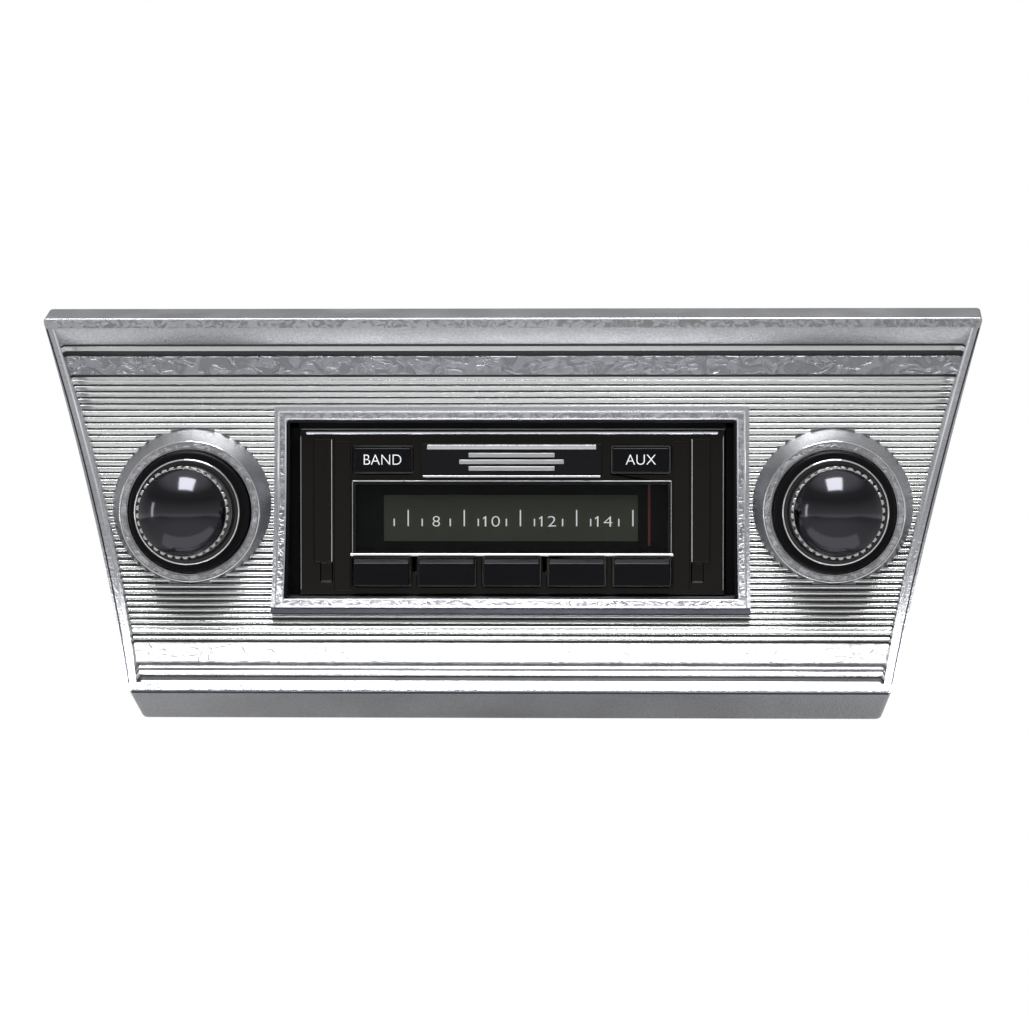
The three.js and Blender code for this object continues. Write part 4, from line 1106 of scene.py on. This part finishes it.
        # The scale's print carries a painted glow.
        settle(merged("dial_scale", ink), GLOWING_INK)

    def flag(self, x: float, z: float, front: float, back: float) -> Piece:
        """The slanting stroke at the head of a figure 1.

        Args:
            x: The left edge of its stem.
            z: The top of its stem.
            front: Its front face.
            back: Its back face.

        Returns:
            The stroke.
        """
        stroke = slab("flag", (x - 0.5, front, z - 0.42), (x + 0.1, back, z - 0.08), 0)
        for vertex in stroke.data.vertices:
            if vertex.co.x < x * MM:
                vertex.co.z -= 0.4 * MM
        return stroke

    def badge(self) -> None:
        """The badge plate with bright edges and three plain bars."""
        settle(refined("badge_plate", 0.25, 3), TRIM_BLACK)
        low, high = corners("badge_plate")
        near, far = low.y - 0.12, low.y + 0.2
        ends = (low.x + 1.4, near, high.z - 1.5), (high.x - 1.4, far, high.z - 0.35)
        lines = [
            slab("line", *ends, 0.12),
            slab("line", (low.x + 0.3, near, low.z + 0.05), (high.x - 0.3, far, low.z + 0.5), 0.1),
        ]
        settle(merged("badge_lines", lines), BRIGHT)
        height = self.bar_height
        middle = (low.z + high.z) / 2 - 0.35
        bars: list[Piece] = []
        for i in range(self.bars):
            z = middle + (i - (self.bars - 1) / 2) * (height + self.bar_gap)
            half = self.bar_half - self.bar_taper * abs(i - 1)
            ends = (-half, near - 0.04, z - height / 2), (half, far, z + height / 2)
            bars.append(slab("bar", *ends, 0.14))
        settle(merged("badge_bars", bars), BADGE_SILVER)

    def caps(self) -> None:
        """The preset buttons and the two lettered keys."""
        for i in range(1, 6):
            node = f"preset_button_{i}"
            settle(refined(node, 0.28, 3), KEYS, node)
        for node, word, width in (("band_key", "BAND", 9.7), ("aux_key", "AUX", 7.75)):
            settle(refined(node, 0.35, 3), KEYS, node)
            low, high = corners(node)
            centre = ((low.x + high.x) / 2, low.y - 0.01, (low.z + high.z) / 2)
            text = lettering(f"{node}_word", word, self.word_height, centre, width)
            # The keys' words carry the same painted glow.
            settle(text, GLOWING_INK, node)

    def build(self) -> None:
        """Makes everything on the nose."""
        self.shell()
        self.edge_lines()
        self.window()
        self.dial()
        self.badge()
        self.caps()


@dataclass
class Chassis:
    """The case behind the bezel, and what shows on its outside."""

    pin_count: int = 8
    pin_pitch: float = 5.0
    pin_rise: float = 2.0
    pin_half: float = 0.4
    screw_inset: float = 5.0
    screw_radius: float = 2.4

    def case(self) -> None:
        """The sheet-metal case and the finned heat sink, with their edges eased."""
        for node, radius in (("chassis_tray", 0.35), ("top_cover", 0.35), ("rear_panel", 0.2)):
            settle(refined(node, radius), ZINC)
        settle(refined("heat_sink", 0.3), ALLOY)

    def hardware(self) -> None:
        """The sockets, the stud and the screws."""
        for node in ("aerial_socket", "rear_support_stud", "cover_screw_left", "cover_screw_right"):
            settle(refined(node, 0.18), STEEL)
        settle(refined("supply_connector", 0.3), NYLON)
        low, high = corners("supply_connector")
        middle = (low.z + high.z) / 2
        pins: list[Piece] = []
        columns, half = self.pin_count // 2, self.pin_half
        for i in range(columns):
            x = (low.x + high.x) / 2 + (i - (columns - 1) / 2) * self.pin_pitch
            for z in (middle - self.pin_rise, middle + self.pin_rise):
                ends = (x - half, high.y - 14, z - half), (x + half, high.y - 5, z + half)
                pins.append(slab("pin", *ends, 0.15, 2))
        settle(merged("supply_pins", pins), BRASS)

    def screws(self) -> None:
        """Slotted pan-head screws near the corners of the rear panel, where the heat sink leaves
        room.
        """
        low, high = corners("rear_panel")
        inset, radius = self.screw_inset, self.screw_radius
        sink_low, sink_high = corners("heat_sink")
        sides, heights = (low.x + inset, high.x - inset), (low.z + inset, high.z - inset)
        places = [(x, z) for x in sides for z in heights if x <= sink_low.x or z >= sink_high.z]
        heads: list[Piece] = []
        back = high.y
        for x, z in places:
            profile = [(0.0, back - 0.4), (radius, back - 0.4), (radius, back + 0.5)]
            profile += [(2.1, back + 0.95), (1.5, back + 1.2), (0.0, back + 1.3)]
            head = spun("head", profile, (x, z), 32)
            slot = slab("slot", (x - 2.6, back + 0.75, z - 0.3), (x + 2.6, back + 2, z + 0.3), 0)
            cut = head.modifiers.new("slot", "BOOLEAN")
            cut.object, cut.operation, cut.solver = slot, "DIFFERENCE", "EXACT"
            pick(head)
            bpy.ops.object.modifier_apply(modifier=cut.name)
            bpy.data.objects.remove(slot)
            heads.append(head)
        settle(merged("rear_screws", heads), STEEL)

    def rest(self) -> None:
        """Dresses the CAD nodes whose shape is left as it is."""
        for finish, nodes in NODE_FINISHES.items():
            for node in nodes:
                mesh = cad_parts[node].data
                mesh.materials.clear()
                mesh.materials.append(finish.material())
                LOG.info("%s: %s", node, finish.name)

    def build(self) -> None:
        """Makes and dresses the chassis."""
        self.case()
        self.hardware()
        self.screws()
        self.rest()


@dataclass
class Studio:
    """The camera, the pale surroundings and the soft lights. Its sizes are in metres."""

    distance: float = 0.8
    azimuth: float = 1.75
    elevation: float = 1.25
    lens: float = 108.5
    target: Point = (0.0006, 0.0004, -0.0007)
    room: tuple[Span, ...] = (
        (0.0, 0.3), (0.25, 0.26), (0.36, 0.36), (0.42, 1.0), (0.46, 1.0), (0.495, 0.6), (0.6, 0.42),
        (0.72, 0.22), (0.84, 0.26), (0.93, 0.9), (1.0, 1.0),
    )

    def camera(self) -> None:
        """The camera, at the height of the shafts and a little to the right."""
        data = bpy.data.cameras.new("camera")
        data.lens = self.lens
        data.sensor_width = 36.0
        camera = bpy.data.objects.new("camera", data)
        bpy.context.scene.collection.objects.link(camera)
        side, up = math.radians(self.azimuth), math.radians(self.elevation)
        back = Vector((math.sin(side) * math.cos(up), -math.cos(side) * math.cos(up), math.sin(up)))
        aim = Vector(self.target)
        camera.location = aim + back * self.distance
        camera.rotation_euler = (-back).to_track_quat("-Z", "Y").to_euler()
        bpy.context.scene.camera = camera

    def surroundings(self) -> None:
        """A pale floor that sweeps up into a pale backdrop."""
        bpy.ops.mesh.primitive_plane_add(size=3.2, location=(0, 0.3, -0.22))
        floor = bpy.context.active_object
        floor.name = "floor"
        apply_place(floor)
        with editing(floor):
            select_edges(floor, lambda a, b: min(a.y, b.y) > 1)
            bpy.ops.mesh.extrude_region_move(TRANSFORM_OT_translate={"value": (0, 0, 2.4)})
        paper = PAPER.material()
        self.lift_to_white(paper)
        floor.data.materials.append(paper)

    def lift_to_white(self, material: bpy.types.Material) -> None:
        """Makes a paper white where it is looked at, while it stays grey in reflections.

        Args:
            material: The paper's material.
        """
        tree = material.node_tree
        choice = tree.nodes.new("ShaderNodeMixShader")
        for socket, place in (
            (tree.nodes.new("ShaderNodeLightPath").outputs["Is Camera Ray"], "Fac"),
            (tree.nodes["Principled BSDF"].outputs["BSDF"], 1),
            (tree.nodes.new("ShaderNodeEmission").outputs["Emission"], 2),
        ):
            tree.links.new(socket, choice.inputs[place])
        tree.links.new(choice.outputs["Shader"], tree.nodes["Material Output"].inputs["Surface"])

    def light(self, name: str, place: Point, size: Span, power: float) -> None:
        """One soft rectangular light, aimed at the radio.

        Args:
            name: The light's name.
            place: Where it stands.
            size: Its width and height.
            power: Its power in watts.
        """
        data = bpy.data.lights.new(name, "AREA")
        data.shape = "RECTANGLE"
        data.size, data.size_y = size
        data.energy = power
        lamp = bpy.data.objects.new(name, data)
        bpy.context.scene.collection.objects.link(lamp)
        lamp.location = place
        lamp.rotation_euler = (-Vector(place)).to_track_quat("-Z", "Y").to_euler()

    def sky(self) -> None:
        """A room that is dark at eye level, pale below and bright overhead."""
        world = bpy.data.worlds.new("room")
        bpy.context.scene.world = world
        world.use_nodes = True
        tree = world.node_tree
        place = tree.nodes.new("ShaderNodeTexCoord").outputs["Generated"]
        height = wired(tree, "SeparateXYZ", "Z", {"Vector": place})
        height = wired(tree, "MapRange", "Result", {"Value": height, "From Min": -1.0})
        ramp = wired(tree, "ValToRGB", "Color", {"Fac": height})
        stops = ramp.node.color_ramp.elements
        for spot, level in self.room[1:-1]:
            stops.new(spot).color = (level, level, level, 1)
        for stop, (_, level) in ((stops[0], self.room[0]), (stops[-1], self.room[-1])):
            stop.color = (level, level, level, 1)
        seen = tree.nodes.new("ShaderNodeLightPath").outputs["Is Camera Ray"]
        mix = {"Factor": seen, "A": ramp, "B": (1, 1, 1, 1)}
        color = wired(tree, "Mix", "Result", mix, "RGBA")
        tree.links.new(color, tree.nodes["Background"].inputs["Color"])

    def build(self) -> None:
        """Sets up the whole studio."""
        self.camera()
        self.surroundings()
        self.sky()
        self.light("top_softbox", (0.0, -0.33, 0.88), (0.48, 0.56), 10.7)
        self.light("left_fill", (-1.2, -0.35, 0.1), (0.12, 0.5), 1.0)
        self.light("under_fill", (0.0, -0.06, -0.2), (0.5, 0.16), 0.15)
        bpy.context.scene.view_settings.view_transform = "Standard"


def main() -> None:
    """Builds the radio's looks around the frame."""
    logging.basicConfig(level=logging.INFO, format="%(name)s: %(message)s")
    Studio().build()
    Bezel().build()
    Knob("volume", "tone").build()
    Knob("tuning", "fader").build()
    Nose().build()
    Chassis().build()


if __name__ == "__main__":
    main()
